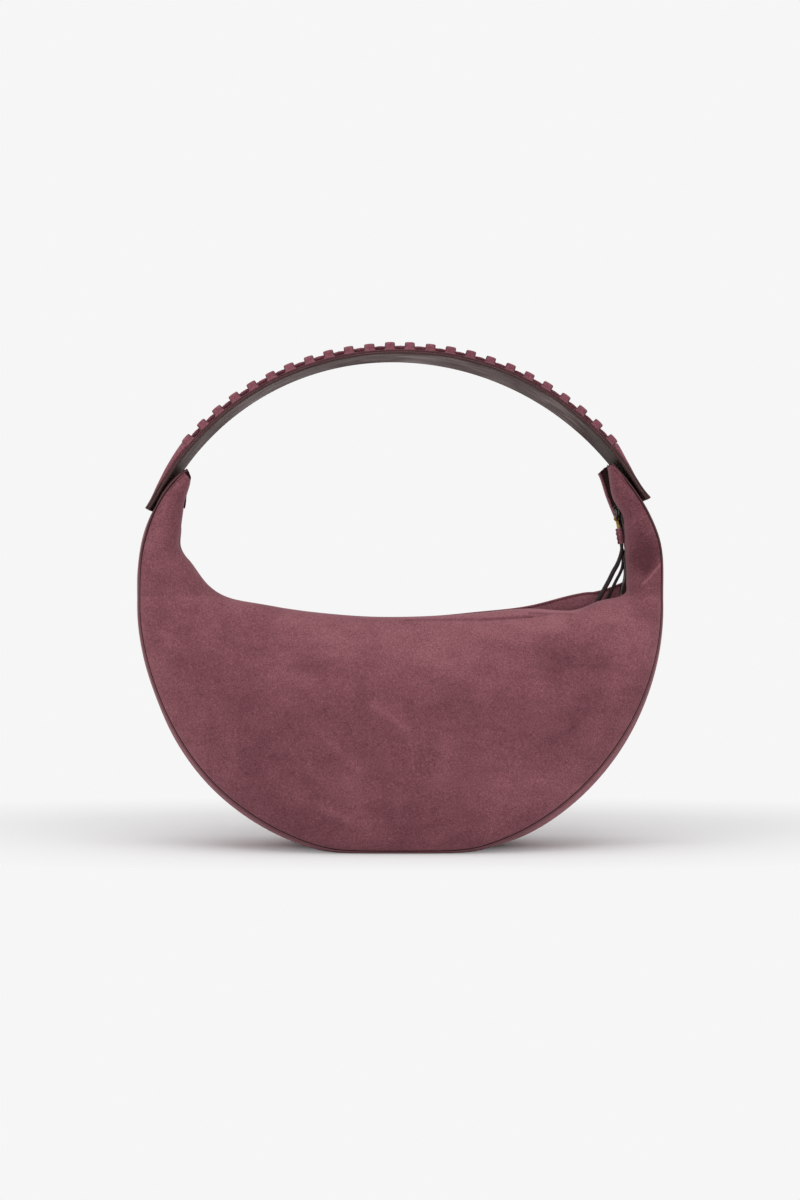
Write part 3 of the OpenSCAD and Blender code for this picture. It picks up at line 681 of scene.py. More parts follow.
# Half the depth of the bag at angle a, from that of the tips to that of the base
def halfAt(a):
    return bag["tipHalf"] + (bag["baseHalf"] - bag["tipHalf"]) * baseShare(a)


# Point [x, z] of the seam at angle a; a soft maximum with the piping's radius flattens the base
def seamAt(a):
    r = seamRadius(a)
    z = centreZ + r * sind(a)
    low = bag["weltD"] / 2
    z = low + (z - low + np.sqrt((z - low) ** 2 + bag["baseSoft"] ** 2)) / 2
    return np.stack([r * cosd(a), z], -1)


# Edge of the mouth: the pattern's own line for side 0, or the soft front (-1) or back (1) edge
def mouthAt(s, side=0):
    row = rowAt(s)
    x, z = row[..., 1] * bag["seamR"], centreZ + row[..., 2] * bag["seamR"]
    if side:
        dx, dz = tableAt(bag["frontLip" if side < 0 else "backLip"], s)
        x, z = x + dx, z + dz
    return np.stack([x, z], -1)


# The left neck leans: its rear lies further out than its front
def leant(grid):
    back = clamp01((grid[..., 1] + bag["tipHalf"]) / (2 * bag["tipHalf"]))
    up = ease(((grid[..., 2] - centreZ) / bag["seamR"] - bag["leanFrom"]) / bag["leanSpan"])
    moved = grid.copy()
    moved[..., 0] -= np.where(grid[..., 0] < 0, bag["leftLean"] * back * up, 0)
    return moved


# Creases and dents of each panel: lines from one [x, z] to another, half width, height, and how much lighter
# the surface is painted along them: painted shade in dents and crease lines, painted highlights on ridges and
# along the lip, and lighter brushed nap along the plain strokes
frontCreases = [
    ((182, 212), (183, 226), 9.5, -2.8, -0.35), ((183, 214), (185, 224), 6.0, 0, -0.55),
    ((180, 199), (196, 216), 0.9, 0.8, 1.5), ((184, 198), (198, 212), 5.0, 0.9, 0.25),
    ((180, 206), (190, 217), 3.2, -0.9, -0.3), ((-194, 177), (-176, 156), 2.6, -0.8, -0.35),
    ((-188, 172), (-172, 153), 6.0, 0.5, 0.15), ((-166, 262), (-168, 224), 7.0, -0.9, -0.15),
    ((-172, 262), (-178, 232), 6.0, 0.3, 0.2), ((4, 172), (56, 172.8), 0.9, -0.3, -1.1),
    ((60, 172.4), (98, 174.8), 1.0, -0.5, -1.4), ((98, 174.8), (112, 176.2), 0.9, -0.4, -0.7),
    ((90, 179.8), (134, 178.4), 1.0, 0.2, 2.0), ((96, 177.4), (130, 176.4), 0.7, -0.3, -1.0),
    ((60, 166), (120, 170), 4.0, 0.5, 0.2), ((50, 155), (128, 162), 6.0, -0.6, -0.1),
    ((150, 186), (168, 190), 4.5, 0.4, 0.25), ((-140, 186), (-96, 178), 3.5, 0.3, 0.15),
    ((18, 166), (76, 142), 6.0, 0, 0.22), ((44, 170), (92, 158), 5.0, 0, 0.3),
    ((-58, 36), (-36, 27), 3.2, 0, 0.7), ((-50, 82), (-28, 63), 2.8, 0, 0.55),
    ((-20, 111), (4, 94), 2.4, 0, 0.75), ((-10, 160), (60, 128), 7.0, 0, 0.25),
    ((120, 182), (166, 172), 6.0, 0, 0.25),
]
backCreases = [
    ((150, 196), (172, 214), 6.0, -1.4, -0.3), ((-120, 172), (-60, 165), 4.0, -0.6, -0.1),
    ((20, 166), (90, 171), 4.0, 0.5, 0.1), ((-182, 190), (-168, 206), 5.0, -1.2, -0.2),
]
# Places where the nap was brushed lighter or darker, with painted shade in the dents of both necks and a
# painted highlight below the right half of the lip: [x, z], radius along x and z, and amount
frontPatches = [
    ((100, 171), (36, 10), 0.6), ((20, 166), (90, 10), 0.15), ((-178, 186), (11, 18), -0.4),
    ((-120, 110), (50, 60), -0.25), ((0, 20), (150, 26), -0.1), ((24, 146), (30, 20), 0.3),
    ((115, 142), (24, 16), -0.5), ((122, 116), (22, 12), 0.2), ((146, 60), (24, 44), -0.35),
    ((50, 104), (14, 26), -0.2), ((60, 60), (50, 30), 0.1), ((177, 240), (14, 26), -0.95),
    ((180, 219), (9, 12), -0.6), ((-150, 150), (30, 40), -0.35), ((-40, 45), (46, 26), 0.1),
]


# Distance from [x, z] to the nearest point of the line between start and end
def lineDistance(x, z, start, end):
    start, end = np.array(start, float), np.array(end, float)
    run = end - start
    t = clamp01(((x - start[0]) * run[0] + (z - start[1]) * run[1]) / (run @ run))
    return np.hypot(x - start[0] - t * run[0], z - start[1] - t * run[1])


# How a soft panel lies, in mm, and how its tone changes, by nap and by painted light and shade: + is lighter
drape = {
    "bellyAlong": 1.3, "bellyAcross": 0.8, "bellyRound": 0.7,
    "waves": ((0.7, 95, 3), (0.22, 34, 8)),  # height, length and seed of each set
    "calmSeam": 14, "calmMouth": 10,  # reach of the calm strips without waves
    "seamDip": 0.35, "dipReach": 1.2, "seamRoll": 0.35, "rollAt": 7, "rollReach": 4.5, "fullWidth": 60,
    "creaseFrom": 5, "fineTo": 1, "rollOver": 1.4, "finest": 0.3,
    # lipTone: a painted highlight where the top of the front lip's fold faces the light from above
    "lipTone": 1.6, "lipReach": 2.2,
    "lipFrom": (-10, 40), "lipTo": (138, 20),  # x, and over how much the light line fades
    # seamTone: a painted sheen, lighter along the seam
    "seamTone": 0.16, "seamToneReach": 9,
    # topTone and baseTone: painted light, lighter on the upper panel, and painted shade, darker towards the
    # base
    "topTone": 0.34, "topFrom": 95, "topSpan": 85, "topTo": 190, "baseTone": 0.16, "baseTo": 70,
    "patchLimits": (-1.5, 0.85), "toneLimits": (-1.9, 1.3),
}


# Superellipse of the fold: the share of the depth left at a share v of the way from the seam to the mouth
def foldShare(v):
    power = bag["foldPower"]
    return np.maximum(1 - v ** power, 0) ** (1 / power)


# A panel over places s along the crescent and shares v from the seam to the mouth: the seam's half width,
# the swell of the belly, and a fold that closes to the mouth like a superellipse; then the roll beside the
# seam, waves and creases
def panelGrid(places, shares, side):
    d = drape
    s, v = gridOf(places, shares)
    a = rowAt(s)[..., 0]
    p, m = seamAt(a), mouthAt(s, side)
    q = p + unit(m - p) * (bag["weltR"] - bag["seat"])
    at = q + (m - q) * v[..., None]
    swell = np.maximum(sind(180 * v ** d["bellyAcross"]), 0) ** d["bellyRound"]
    full = halfAt(a) + bag["belly"] * baseShare(a) ** d["bellyAlong"] * swell
    edge = bag["mouthGap"] / 2
    y = edge + (full - edge) * foldShare(v)
    grid = np.stack([at[..., 0], side * y, at[..., 1]], -1)
    normal = normalsOf(grid) * -side
    x, z = grid[..., 0], grid[..., 2]
    width = np.linalg.norm(m - q, axis=-1)
    fromSeam, fromMouth = v * width, (1 - v) * width
    wide = ease(width / d["fullWidth"])
    calm = ease(fromSeam / d["calmSeam"]) * ease(fromMouth / d["calmMouth"])
    relief = 0 * x
    for height, length, seed in d["waves"]:
        relief += height * softWaves(x, z, length, seed + side) * calm
    roll = d["seamRoll"] * np.exp(-((fromSeam - d["rollAt"]) / d["rollReach"]) ** 2) * wide
    relief += roll - d["seamDip"] * np.exp(-fromSeam / d["dipReach"])
    patch, lines = 0 * x, 0 * x
    # a fine line gets finer still where the lip rolls over, so that it looks as fine from the front
    steep = np.clip(np.abs(normal[..., 1]) * d["rollOver"], d["finest"], 1)
    # the tone along a crease is painted shade in dents and crease lines and a painted highlight on ridges;
    # the plain strokes are brushed nap
    for start, end, half, height, tone in (frontCreases if side < 0 else backCreases):
        fine = half <= d["fineTo"]
        near = np.exp(-(lineDistance(x, z, start, end) / (half * steep if fine else half)) ** 2)
        relief += height * near * ease(fromSeam / d["creaseFrom"])
        if fine:
            lines += tone * near
        else:
            patch += tone * near
    if side < 0:
        # brushed nap, with painted shade in the necks' dents and a painted highlight below the lip
        for (px, pz), (rx, rz), amount in frontPatches:
            patch += amount * np.exp(-((x - px) / rx) ** 2 - ((z - pz) / rz) ** 2)
        # a painted highlight along the top of the front lip's fold
        (start, fadeIn), (end, fadeOut) = d["lipFrom"], d["lipTo"]
        lip = d["lipTone"] * np.exp(-fromMouth / d["lipReach"])
        patch += lip * ease((x - start) / fadeIn) * ease((end - x) / fadeOut)
    # a painted sheen, lighter along the seam
    patch += d["seamTone"] * np.exp(-fromSeam / d["seamToneReach"]) * wide
    # painted light from above: lighter towards the top and darker towards the base
    top = d["topTone"] * ease((z - d["topFrom"]) / d["topSpan"]) * (z < d["topTo"])
    patch += top - d["baseTone"] * ease((d["baseTo"] - z) / d["baseTo"])
    tone = np.clip(np.clip(patch, *d["patchLimits"]) + lines, *d["toneLimits"])
    return leant(grid + normal * relief[..., None]), tone


# Places along the bag, closer together where the right neck creases and at the left tip
def bagPlaces():
    fine = np.linspace(0, lastRow, 2000)
    (start, end, neck), (tip, tipMore) = bag["neckCrowd"], bag["tipCrowd"]
    crowd = 1 + neck * ease(fine - start) * ease(end - fine) + tipMore * ease(tip - fine)
    along = np.linspace(0, 1, bag["along"])
    return np.interp(along, np.cumsum(crowd) / np.sum(crowd), fine, left=0, right=lastRow)


# Places no further from the middle of the run than a share of it
def middlePlaces(places, reach):
    return places[np.abs(places / lastRow - 0.5) < reach]


# The bag's left end is turned in and painted dark
def endSlots(places):
    return (places[1:] < bag["paintedEnd"]).astype(int)


def makePanels():
    places = bagPlaces()
    shares = sind(90 * np.linspace(0, 1, bag["across"]) ** bag["acrossCrowd"])
    for side, word in bothSides:
        grid, patch = panelGrid(places, shares, side)
        sewn(word + "Panel", word + "_panel", "suede", grid, bag["suede"],
             [finishes["suede"], finishes["welt"]], flip=side > 0, marks={"patch": patch},
             rowSlots=endSlots(places))
        makeLining(places, shares, side, word)


# A grid moved by a depth along its normals
def sunk(grid, depth, side):
    return grid + normalsOf(grid) * side * depth


# The lining lies under the panel and stops part of the way over its fold; the pocket lies on the back one
def makeLining(places, shares, side, word):
    inner = middlePlaces(places, bag["liningReach"])[::4]
    grid = panelGrid(inner, np.append(shares[::4], 1), side)[0][:, :-3]
    depth = bag["suede"] + bag["layerGap"]
    sewn(word + "Lining", word + "_lining", "lining_cloth", sunk(grid, depth, side), bag["lining"],
         [finishes["lining"]], flip=side > 0)
    if side > 0:
        heights = np.linspace(*bag["pocketShares"], 20)
        pocket = panelGrid(middlePlaces(inner, bag["pocketReach"]), heights, side)[0]
        pocket = sunk(pocket, depth + bag["lining"] + bag["layerGap"], side)
        sewn("slipPocket", "slip_pocket", "lining_cloth", pocket, bag["lining"], [finishes["lining"]],
             flip=True)


# Gusset over places s and shares w across: it swells between its two seams and lies flat on the base
def gussetGrid(places, shares, rise, inset, low):
    s, w = gridOf(places, shares)
    a = rowAt(s)[..., 0]
    p = seamAt(a)
    q = np.abs(a - 270)
    sides = bag["sideSwell"] + bag["cornerSwell"] * sind(2 * q)
    tips = bag["sideSwell"] - (bag["sideSwell"] - bag["tipSwell"]) * ease((q - 90) / bag["leftTip"])
    swell = np.maximum(np.where(q < 90, sides, tips) - tableAt(bag["seamTrim"], a)[1], bag["leastSwell"])
    up = rise + swell * (1 - np.abs(w) ** bag["swellPower"])
    half = halfAt(a) - inset
    return np.stack([p[..., 0] + up * cosd(a), half * w, np.maximum(p[..., 1] + up * sind(a), low)], -1)


# Rows that close an end of the gusset: they climb from its edge row to just under both lips of the mouth, and
# narrow as the panels' fold does, by the same superellipse
def endWall(edge, s):
    whole, lip = np.abs(edge[:, 1]).max(), bag["mouthGap"] / 2
    toBack = (edge[:, 1, None] / whole + 1) / 2
    at = np.array(s)
    climb = mouthAt(at, -1) * (1 - toBack) + mouthAt(at, 1) * toBack - seamAt(rowAt(at)[..., 0])
    climb *= 1 - bag["wallGap"] / np.linalg.norm(climb, axis=-1, keepdims=True)
    t = sind(90 * np.linspace(0, 1, bag["wallRows"]))[1:, None]
    y = edge[:, 1] * (lip + (whole - lip) * foldShare(bag["wallFold"] * t)) / whole
    y -= np.sign(y) * np.minimum(np.abs(y), bag["wallTuck"] * t)
    return np.stack([edge[:, 0] + climb[:, 0] * t, y, edge[:, 2] + climb[:, 1] * t], -1)


def makeGusset():
    inset = bag["weltR"] - bag["seat"]
    shares = sind(90 * np.linspace(-1, 1, 41))
    places = bagPlaces()
    grid = gussetGrid(places, shares, bag["suede"] / 2, inset, 0)
    walls = endWall(grid[0], 0), endWall(grid[-1], lastRow)
    grid = leant(np.concatenate([walls[0][::-1], grid, walls[1]]))
    painted = np.pad(endSlots(places), len(walls[0]), constant_values=1)
    patch = 0.1 * softWaves(grid[..., 0] + grid[..., 2], grid[..., 1] * 2, 40, 5)
    sewn("gusset", "gusset", "suede", grid, bag["suede"], [finishes["suede"], finishes["welt"]], flip=True,
         marks={"patch": patch}, rowSlots=painted)
    inner = middlePlaces(places, bag["liningReach"])[::4]
    gap = bag["layerGap"]
    deep = bag["suede"] + 2 * gap + bag["lining"]
    cloth = gussetGrid(inner, shares[::2], -bag["suede"] / 2 - gap, inset + deep, bag["suede"] + gap)
    sewn("gussetLining", "gusset_lining", "lining_cloth", cloth, bag["lining"], [finishes["lining"]],
         flip=True)


# Piping: a round cord of edge leather along each seam, which stands up as a painted cut edge by the left
# tip. A lighter line runs along each of its sides
piping = {
    "standTo": 160, "standSpan": 6, "stand": 1.1, "standTall": 0.55, "standUp": 0.35,
    "sideFrom": 0.80, "sideSoft": 0.06, "sideTone": 0.85,
    "sideShrink": 0.12, "shrinkFrom": 90, "shrinkSpan": 15,
}


def makeWelts():
    z = piping
    s = np.linspace(0, lastRow, 700)
    a = rowAt(s)[..., 0]
    p = seamAt(a)
    stand = z["stand"] * ease((z["standTo"] - a) / z["standSpan"])
    ring = circle(bag["weltR"], 14)
    profile = ring[None] * np.stack([1 + 0 * s, 1 + z["standTall"] * stand], -1)[:, None]
    profile[..., 1] += z["standUp"] * stand[:, None]
    past = np.abs(a - 270) - z["shrinkFrom"]
    lightFrom = z["sideFrom"] + z["sideShrink"] * ease(past / z["shrinkSpan"])
    outward = np.abs(ring[None, :, 0]) / bag["weltR"]
    line = z["sideTone"] * clamp01((outward - lightFrom[:, None]) / z["sideSoft"])
    for side, word in bothSides:
        path = leant(np.stack([p[:, 0], side * halfAt(a), p[:, 1]], -1))
        obj = tube(word + "Welt", path, profile, finishes["piping"], {"patch": line})
        seatPiece(obj, "bag", "edge_leather", word + "_welt")


makePanels()
makeGusset()
makeWelts()
print("body made")


# Zip

zipper = {
    "recess": 7, "straightX": 0.836, "straightZ": 0.519, "straightFrom": 0.76, "straightBlend": 0.095,
    "ramp": 0.095, "tipShare": 0.45, "lean": 13, "slider": 0.926, "split": 1.1, "splitSpan": 0.01,
    "chainFrom": 0.04, "chainTo": 0.988, "tapeFrom": 0.006, "tapeTo": 0.998, "chainW": 5, "chainT": 2.2,
    "tapeT": 0.5, "fit": 0.1, "meshGap": 0.12, "facingFrom": 0.004, "facingTo": 0.9995,
    "pitch": 1.9, "toothShare": 0.52, "toothLap": 0.15, "toothSoft": 0.2,
    "leftTabTo": 0.05, "rightTabFrom": 0.993, "tabT": 2.6,
    "stopL": 1.8, "stopHigh": 0.3, "stopR": 0.3, "stopBevel": 0.2,
    "darkFrom": 15.3, "darkTo": 4.5,  # rows of the mouth beyond which the facings are dark
    "near": 6, "nearFrom": 14.6, "nearTo": 16.9,  # rows where the zip lies close up to the lips
    # the tapes reach this many facings out, and less in the rows where they are cut back
    "tapeReach": 3, "tapeCut": 2.8, "cutFrom": 13.5, "cutTo": 17.6, "cutFades": (0.8, 0.6),
    # facingTone is painted light on the facings, which lie in shade in the mouth, and facingFall is painted
    # shade that deepens towards the zip
    "tapeRows": 320, "facingRows": 260, "facingTone": 0.9, "facingFall": 0.3,
}


# A direction [x, z] turned by a right angle
def turned(t):
    return np.stack([t[..., 1], -t[..., 0]], -1)


# Unit direction square to a curve of [x, z] at place s, from two points of it a step d before and after
def squareTo(curve, s, d):
    return unit(turned(curve(np.minimum(s + d, lastRow)) - curve(np.maximum(s - d, 0))))


# Square to the mouth's edge, down into the bag
def mouthDown(s):
    return squareTo(mouthAt, s, 0.02)


# The zip lies a fixed depth below the mouth's edge, and runs straight in the right neck
def zipAt(s):
    z = zipper
    m, out = mouthAt(s), mouthDown(s)
    deep = z["recess"] * (z["tipShare"] + (1 - z["tipShare"]) * ease(s / (z["ramp"] * lastRow)))
    drop = centreZ + z["straightZ"] * bag["seamR"] - m[..., 1]
    x = z["straightX"] * bag["seamR"] + drop * np.tan(np.radians(z["lean"]))
    w = ease((s - z["straightFrom"] * lastRow) / (z["straightBlend"] * lastRow))[..., None]
    near = z["near"] * ease(s - z["nearFrom"]) * (1 - ease(s - z["nearTo"]))
    return (m + out * deep[..., None]) * (1 - w) + np.stack([x, m[..., 1]], -1) * w - out * near[..., None]


# Square to the zip, up out of the mouth
def zipUp(s):
    return -squareTo(zipAt, s, 0.05)


# How far each half of the chain stands aside: nothing below the slider, the split above it
def splitAt(s):
    start = zipper["slider"] * lastRow
    return zipper["split"] * ease((s - start) / (zipper["splitSpan"] * lastRow))


# Point at place s of the zip, y across the bag and n up from the zip
def zipPoint(s, y, n):
    p = zipAt(s) + zipUp(s) * n[..., None]
    return np.stack([p[..., 0], y, p[..., 1]], -1)


# Grid over a stretch of the zip; y and n are functions of place and of a share across
def zipGrid(fromShare, toShare, count, yOf, nOf, acrossCount=8):
    s, k = gridOf(np.linspace(fromShare, toShare, count) * lastRow, np.linspace(0, 1, acrossCount))
    return leant(zipPoint(s, yOf(s, k), nOf(s, k)))


def makeTapesAndFacings():
    z = zipper
    edge = bag["mouthGap"] / 2
    inner = z["chainW"] / 2 + z["fit"]

    # from the chain out under the facing; it is cut back where the zip lies close up to the lips
    def across(s, k):
        fadeIn, fadeOut = z["cutFades"]
        close = ease((s - z["cutFrom"]) / fadeIn) * (1 - ease((s - z["cutTo"]) / fadeOut))
        start = inner + splitAt(s)
        return start + (edge + bag["facing"] * (z["tapeReach"] - z["tapeCut"] * close) - start) * k

    s, k = gridOf(np.linspace(z["facingFrom"], z["facingTo"], z["facingRows"]) * lastRow,
                  np.linspace(0, 1, 9))
    dark = ((s[1:, 0] > z["darkFrom"]) | (s[1:, 0] < z["darkTo"])).astype(int)
    for side, word in bothSides:
        grid = zipGrid(z["tapeFrom"], z["tapeTo"], z["tapeRows"], lambda s, k: side * across(s, k),
                       lambda s, k: z["tapeT"] / 2 + 0 * s)
        sewn(word + "ZipTape", word + "_zip_tape", "zip_tape", grid, z["tapeT"], [finishes["tape"]],
             flip=side < 0, rims=1)

        m = mouthAt(s, side) + mouthDown(s) * (bag["suede"] + z["fit"])
        y = side * (edge + bag["seat"]) + 0 * s
        top = np.stack([m[..., 0], y, m[..., 1]], -1)
        bottom = zipPoint(s, y, z["tapeT"] / 2 + bag["seat"] + 0 * s)
        # the facings' tone mark is painted light, falling to painted shade towards the zip
        sewn(word + "Facing", word + "_facing", "suede", leant(top + (bottom - top) * k[..., None]),
             bag["facing"] - bag["seat"], [finishes["suede"], finishes["tape"]], flip=side > 0, rims=1,
             marks={"patch": z["facingTone"] - z["facingFall"] * k}, rowSlots=dark)


# Teeth: rounded blocks at an even pitch along each half of the chain, each half a pitch behind the other
def makeTeeth():
    z = zipper
    s = np.linspace(z["chainFrom"], z["chainTo"], 2400) * lastRow
    run = walked(leant(zipPoint(s, 0 * s, 0 * s)))
    block, blockFaces = roundedBlock(z["pitch"] * z["toothShare"], z["chainW"] / 2 + z["toothLap"],
                                     z["chainT"], z["toothSoft"])
    for side, word in bothSides:
        start = z["pitch"] / 2 if side < 0 else z["pitch"]
        at = np.interp(np.arange(start, run[-1] - z["pitch"] / 2, z["pitch"]), run, s)
        y = side * (z["chainW"] / 4 + splitAt(at))
        origins = leant(zipPoint(at, y, 0 * at))
        ahead = unit(leant(zipPoint(at + 0.01, y, 0 * at)) - origins)
        across = np.broadcast_to(acrossBag, ahead.shape)
        up = unit(np.cross(ahead, across))
        obj = copies(word + "ZipTeeth", block, blockFaces, origins, ahead, across, up, finishes["metal"])
        seatPiece(obj, "bag", "dark_metal", word + "_zip_chain")


# A closed plate: an outline drawn in again at its two faces, so that both rims are bevelled
def plate(outline, low, high, bevel):
    small = outline + unit(outline.mean(0) - outline) * bevel
    rings = ((small, low), (outline, low + bevel), (outline, high - bevel), (small, high))
    points = np.concatenate([np.column_stack([ring, np.full(len(ring), z)]) for ring, z in rings])
    return points, closedTube(4, len(outline))


# Several sets of points and faces made one
def joined(parts):
    points, faces, start = [], [], 0
    for partPoints, partFaces in parts:
        points.append(partPoints)
        faces += [f + start for f in partFaces]
        start += len(partPoints)
    return np.concatenate(points), faces


# Outline of a rectangle whose corners are quarter circles of radius r
def roundedRect(x0, x1, y0, y1, r, corner=4):
    t = np.linspace(0, np.pi / 2, corner)
    points = []
    left, right, near, far = x0 + r, x1 - r, y0 + r, y1 - r
    for cx, cy, turnBy in ((right, far, 0), (left, far, 1), (left, near, 2), (right, near, 3)):
        angle = t + turnBy * np.pi / 2
        points.append(np.stack([cx + r * np.cos(angle), cy + r * np.sin(angle)], -1))
    return np.concatenate(points)


# Frame of the zip at a share of its run: ahead along the chain, across the bag, up into the loop
def zipFrame(share):
    s = np.array([share * lastRow])
    p = leant(zipPoint(s, 0 * s, 0 * s))[0]
    x, z = zipUp(s)[0]
    up = np.array([x, 0, z])
    return p, np.cross(acrossBag, up), acrossBag, up


# Points set in a frame of an origin and three directions
def setIn(frameOf, points):
    p, ahead, across, up = frameOf
    return p + points[:, 0:1] * ahead + points[:, 1:2] * across + points[:, 2:3] * up


# A rigid piece made of closed parts, set in one frame
def placed(name, frameOf, parts, finish, body, slot, *nodes):
    points, faces = joined(parts)
    obj = putMesh(name, setIn(frameOf, points), faces, [finish])
    return seatPiece(obj, body, slot, *nodes)


slider = {
    "l": 11, "w": 9.6, "wall": 0.8, "plate": 1.1, "play": 0.3, "slot": 0.35, "wedgeW": 1.6, "wedgeL": 2.2,
    "bevel": 0.25, "wedgeGap": 0.1, "wedgeR": 0.4, "wedgeBevel": 0.05,
    "railFrom": -0.05, "railTo": 0.35, "railR": 0.2, "railBevel": 0.08, "sink": 0.05,
    "bailR": 2, "bailT": 1.2, "bailW": 1.6, "bailEdge": 0.4, "bailSink": 0.06,
    # half outline as shares of half the length and half the width
    "outline": [(-1, 0), (-0.98, 0.45), (-0.86, 0.74), (-0.5, 0.88), (-0.1, 1), (0.4, 1.0), (0.8, 0.96),
                (0.97, 0.72), (1, 0)],
}


def makeSlider():
    z = slider
    cavity = zipper["chainT"] / 2 + z["play"]
    l, w = z["l"] / 2, z["w"] / 2
    upper = curveThrough(z["outline"], np.linspace(0, len(z["outline"]) - 1, 33))
    outline = np.concatenate([upper, upper[1:-1][::-1] * (1, -1)]) * (l, w)
    parts = [plate(outline, cavity, cavity + z["plate"], z["bevel"]),
             plate(outline, -cavity - z["plate"], -cavity, z["bevel"])]
    slot = zipper["tapeT"] / 2 + z["slot"]
    for y in (w - z["wall"], -w):
        rail = roundedRect(z["railFrom"] * z["l"], z["railTo"] * z["l"], y, y + z["wall"], z["railR"], 3)
        parts += [plate(rail, slot, cavity + z["sink"], z["railBevel"]),
                  plate(rail, -cavity - z["sink"], -slot, z["railBevel"])]
    wedge = roundedRect(l - z["wedgeL"], l - z["wedgeGap"], -z["wedgeW"] / 2, z["wedgeW"] / 2, z["wedgeR"], 3)
    parts.append(plate(wedge, -cavity, cavity, z["wedgeBevel"]))
    # bail: a half ring of a rounded section standing on the top plate
    t = np.linspace(-z["bailSink"], np.pi + z["bailSink"], 25)
    reach = z["bailR"] + z["bailT"] / 2
    centre = np.stack([np.cos(t) * reach, 0 * t, np.sin(t) * reach], -1)
    ring = roundedRect(-z["bailW"] / 2, z["bailW"] / 2, -z["bailT"] / 2, z["bailT"] / 2, z["bailEdge"], 4)
    points = centre[:, None] + acrossBag * ring[None, :, 0:1] + unit(centre)[:, None] * ring[None, :, 1:2]
    points[..., 2] += cavity + z["plate"] - z["sink"]
    parts.append((points.reshape(-1, 3), closedTube(25, len(ring))))
    placed("slider", zipFrame(zipper["slider"]), parts, finishes["metal"], "zip_slider", "dark_metal",
           "slider")


def makeStops():
    z = zipper
    high = z["chainT"] / 2 + z["stopHigh"]
    inner, outer, half = z["meshGap"] + z["split"], z["chainW"] / 2 + z["split"], z["chainW"] / 2
    near, far = z["fit"], z["fit"] + z["stopL"]
    blocks = [plate(roundedRect(near, far, low, top, z["stopR"], 3), -high, high, z["stopBevel"])
              for low, top in ((inner, outer), (-outer, -inner))]
    placed("topStops", zipFrame(z["chainTo"]), blocks, finishes["metal"], "bag", "dark_metal", "top_stops")
    block = plate(roundedRect(-z["stopL"] - z["fit"], -near, -half, half, z["stopR"], 3), -high, high,
                  z["stopBevel"])
    placed("bottomStop", zipFrame(z["chainFrom"]), [block], finishes["metal"], "bag", "dark_metal",
           "bottom_stop")


# Leather tabs over the ends of the tapes
def makeTabs():
    z = zipper
    half = bag["mouthGap"] / 2 - bag["seat"]
    top = z["tapeT"] / 2 + bag["seat"] + z["tabT"]
    for name, node, start, end in (("leftTipTab", "left_tip_tab", z["tapeFrom"], z["leftTabTo"]),
                                   ("rightTipTab", "right_tip_tab", z["rightTabFrom"], z["tapeTo"])):
        grid = zipGrid(start, end, 12, lambda s, k: half * (2 * k - 1), lambda s, k: top + 0 * s, 13)
        sewn(name, node, "edge_leather", grid, z["tabT"], [finishes["welt"]])


makeTapesAndFacings()
makeTeeth()
makeSlider()
makeStops()
makeTabs()
print("zip made")


# Pull: ring in the bail, brass connector, suede collar

# Frame at an origin whose third direction leans from upright by so many degrees
def leanFrame(origin, lean):
    along, up = np.array([cosd(lean), 0, sind(lean)]), np.array([-sind(lean), 0, cosd(lean)])
    return np.array(origin, float), along, acrossBag, up


# A ring about the x or the y direction: the round section of its wire carried round a circle
def ringPart(radius, wire, axis, count, sides):
    t, u = gridOf(np.arange(count) * 2 * np.pi / count, np.arange(sides) * 2 * np.pi / sides)
    reach = radius + wire / 2 * np.cos(u)
    flat = np.stack([reach * np.cos(t), reach * np.sin(t), wire / 2 * np.sin(u)], -1)
    order = {"x": (2, 0, 1), "y": (0, 2, 1)}[axis]
    i, j = np.arange(count)[:, None], np.arange(sides)[None]
    k, l = (i + 1) % count, (j + 1) % sides
    faces = np.stack([i * sides + j, k * sides + j, k * sides + l, i * sides + l], -1)
    return flat[..., order].reshape(-1, 3), [faces.reshape(-1, 4)]


bar = {
    "eyeR": 1.5, "eyeWire": 1.0, "eyeStretch": (1.12, 2.3, 1.12), "thick": 1.7, "wide": 0.85,
    "waist": [(-1.1, 1.05), (-2.0, 0.95), (-3.6, 0.86), (-5.6, 1.0)],  # height, and the section's size there
    "endGap": 0.15, "endSize": 1.08, "half": (0.75, 1.0), "corner": 0.35,
}


def makePull():
    ring = ringPart(pull["ringL"] / 2, pull["ringWire"], "x", 56, 16)
    ring = (ring[0] - (0, 0, pull["ringL"] / 2), ring[1])
    placed("pullRing", leanFrame(pull["bailHinge"], pull["ringLean"]), [ring], finishes["metal"], "pull_link",
           "dark_metal", "pull_ring")
    # connector: an eye round the ring and a flat tongue that narrows at the waist
    eye = ringPart(bar["eyeR"], bar["eyeWire"], "y", 36, 12)
    eye = (eye[0] * bar["eyeStretch"], eye[1])
    rows = [*bar["waist"], (-pull["barL"] + bar["endGap"], bar["endSize"])]
    stations = curveThrough(rows, np.linspace(0, len(rows) - 1, 17))
    x, y = bar["half"]
    section = roundedRect(-x, x, -y, y, bar["corner"], 4)
    z, w = stations[:, 0, None], stations[:, 1, None]
    rings = [section[:, 0] * w * bar["thick"], section[:, 1] * w * bar["wide"], z + 0 * section[:, 0]]
    tongue = (np.stack(rings, -1).reshape(-1, 3), closedTube(17, len(section)))
    placed("pullBar", leanFrame(pull["ringHinge"], pull["barLean"]), [eye, tongue], finishes["brass"],
           "tassel", "aged_brass", "pull_bar")


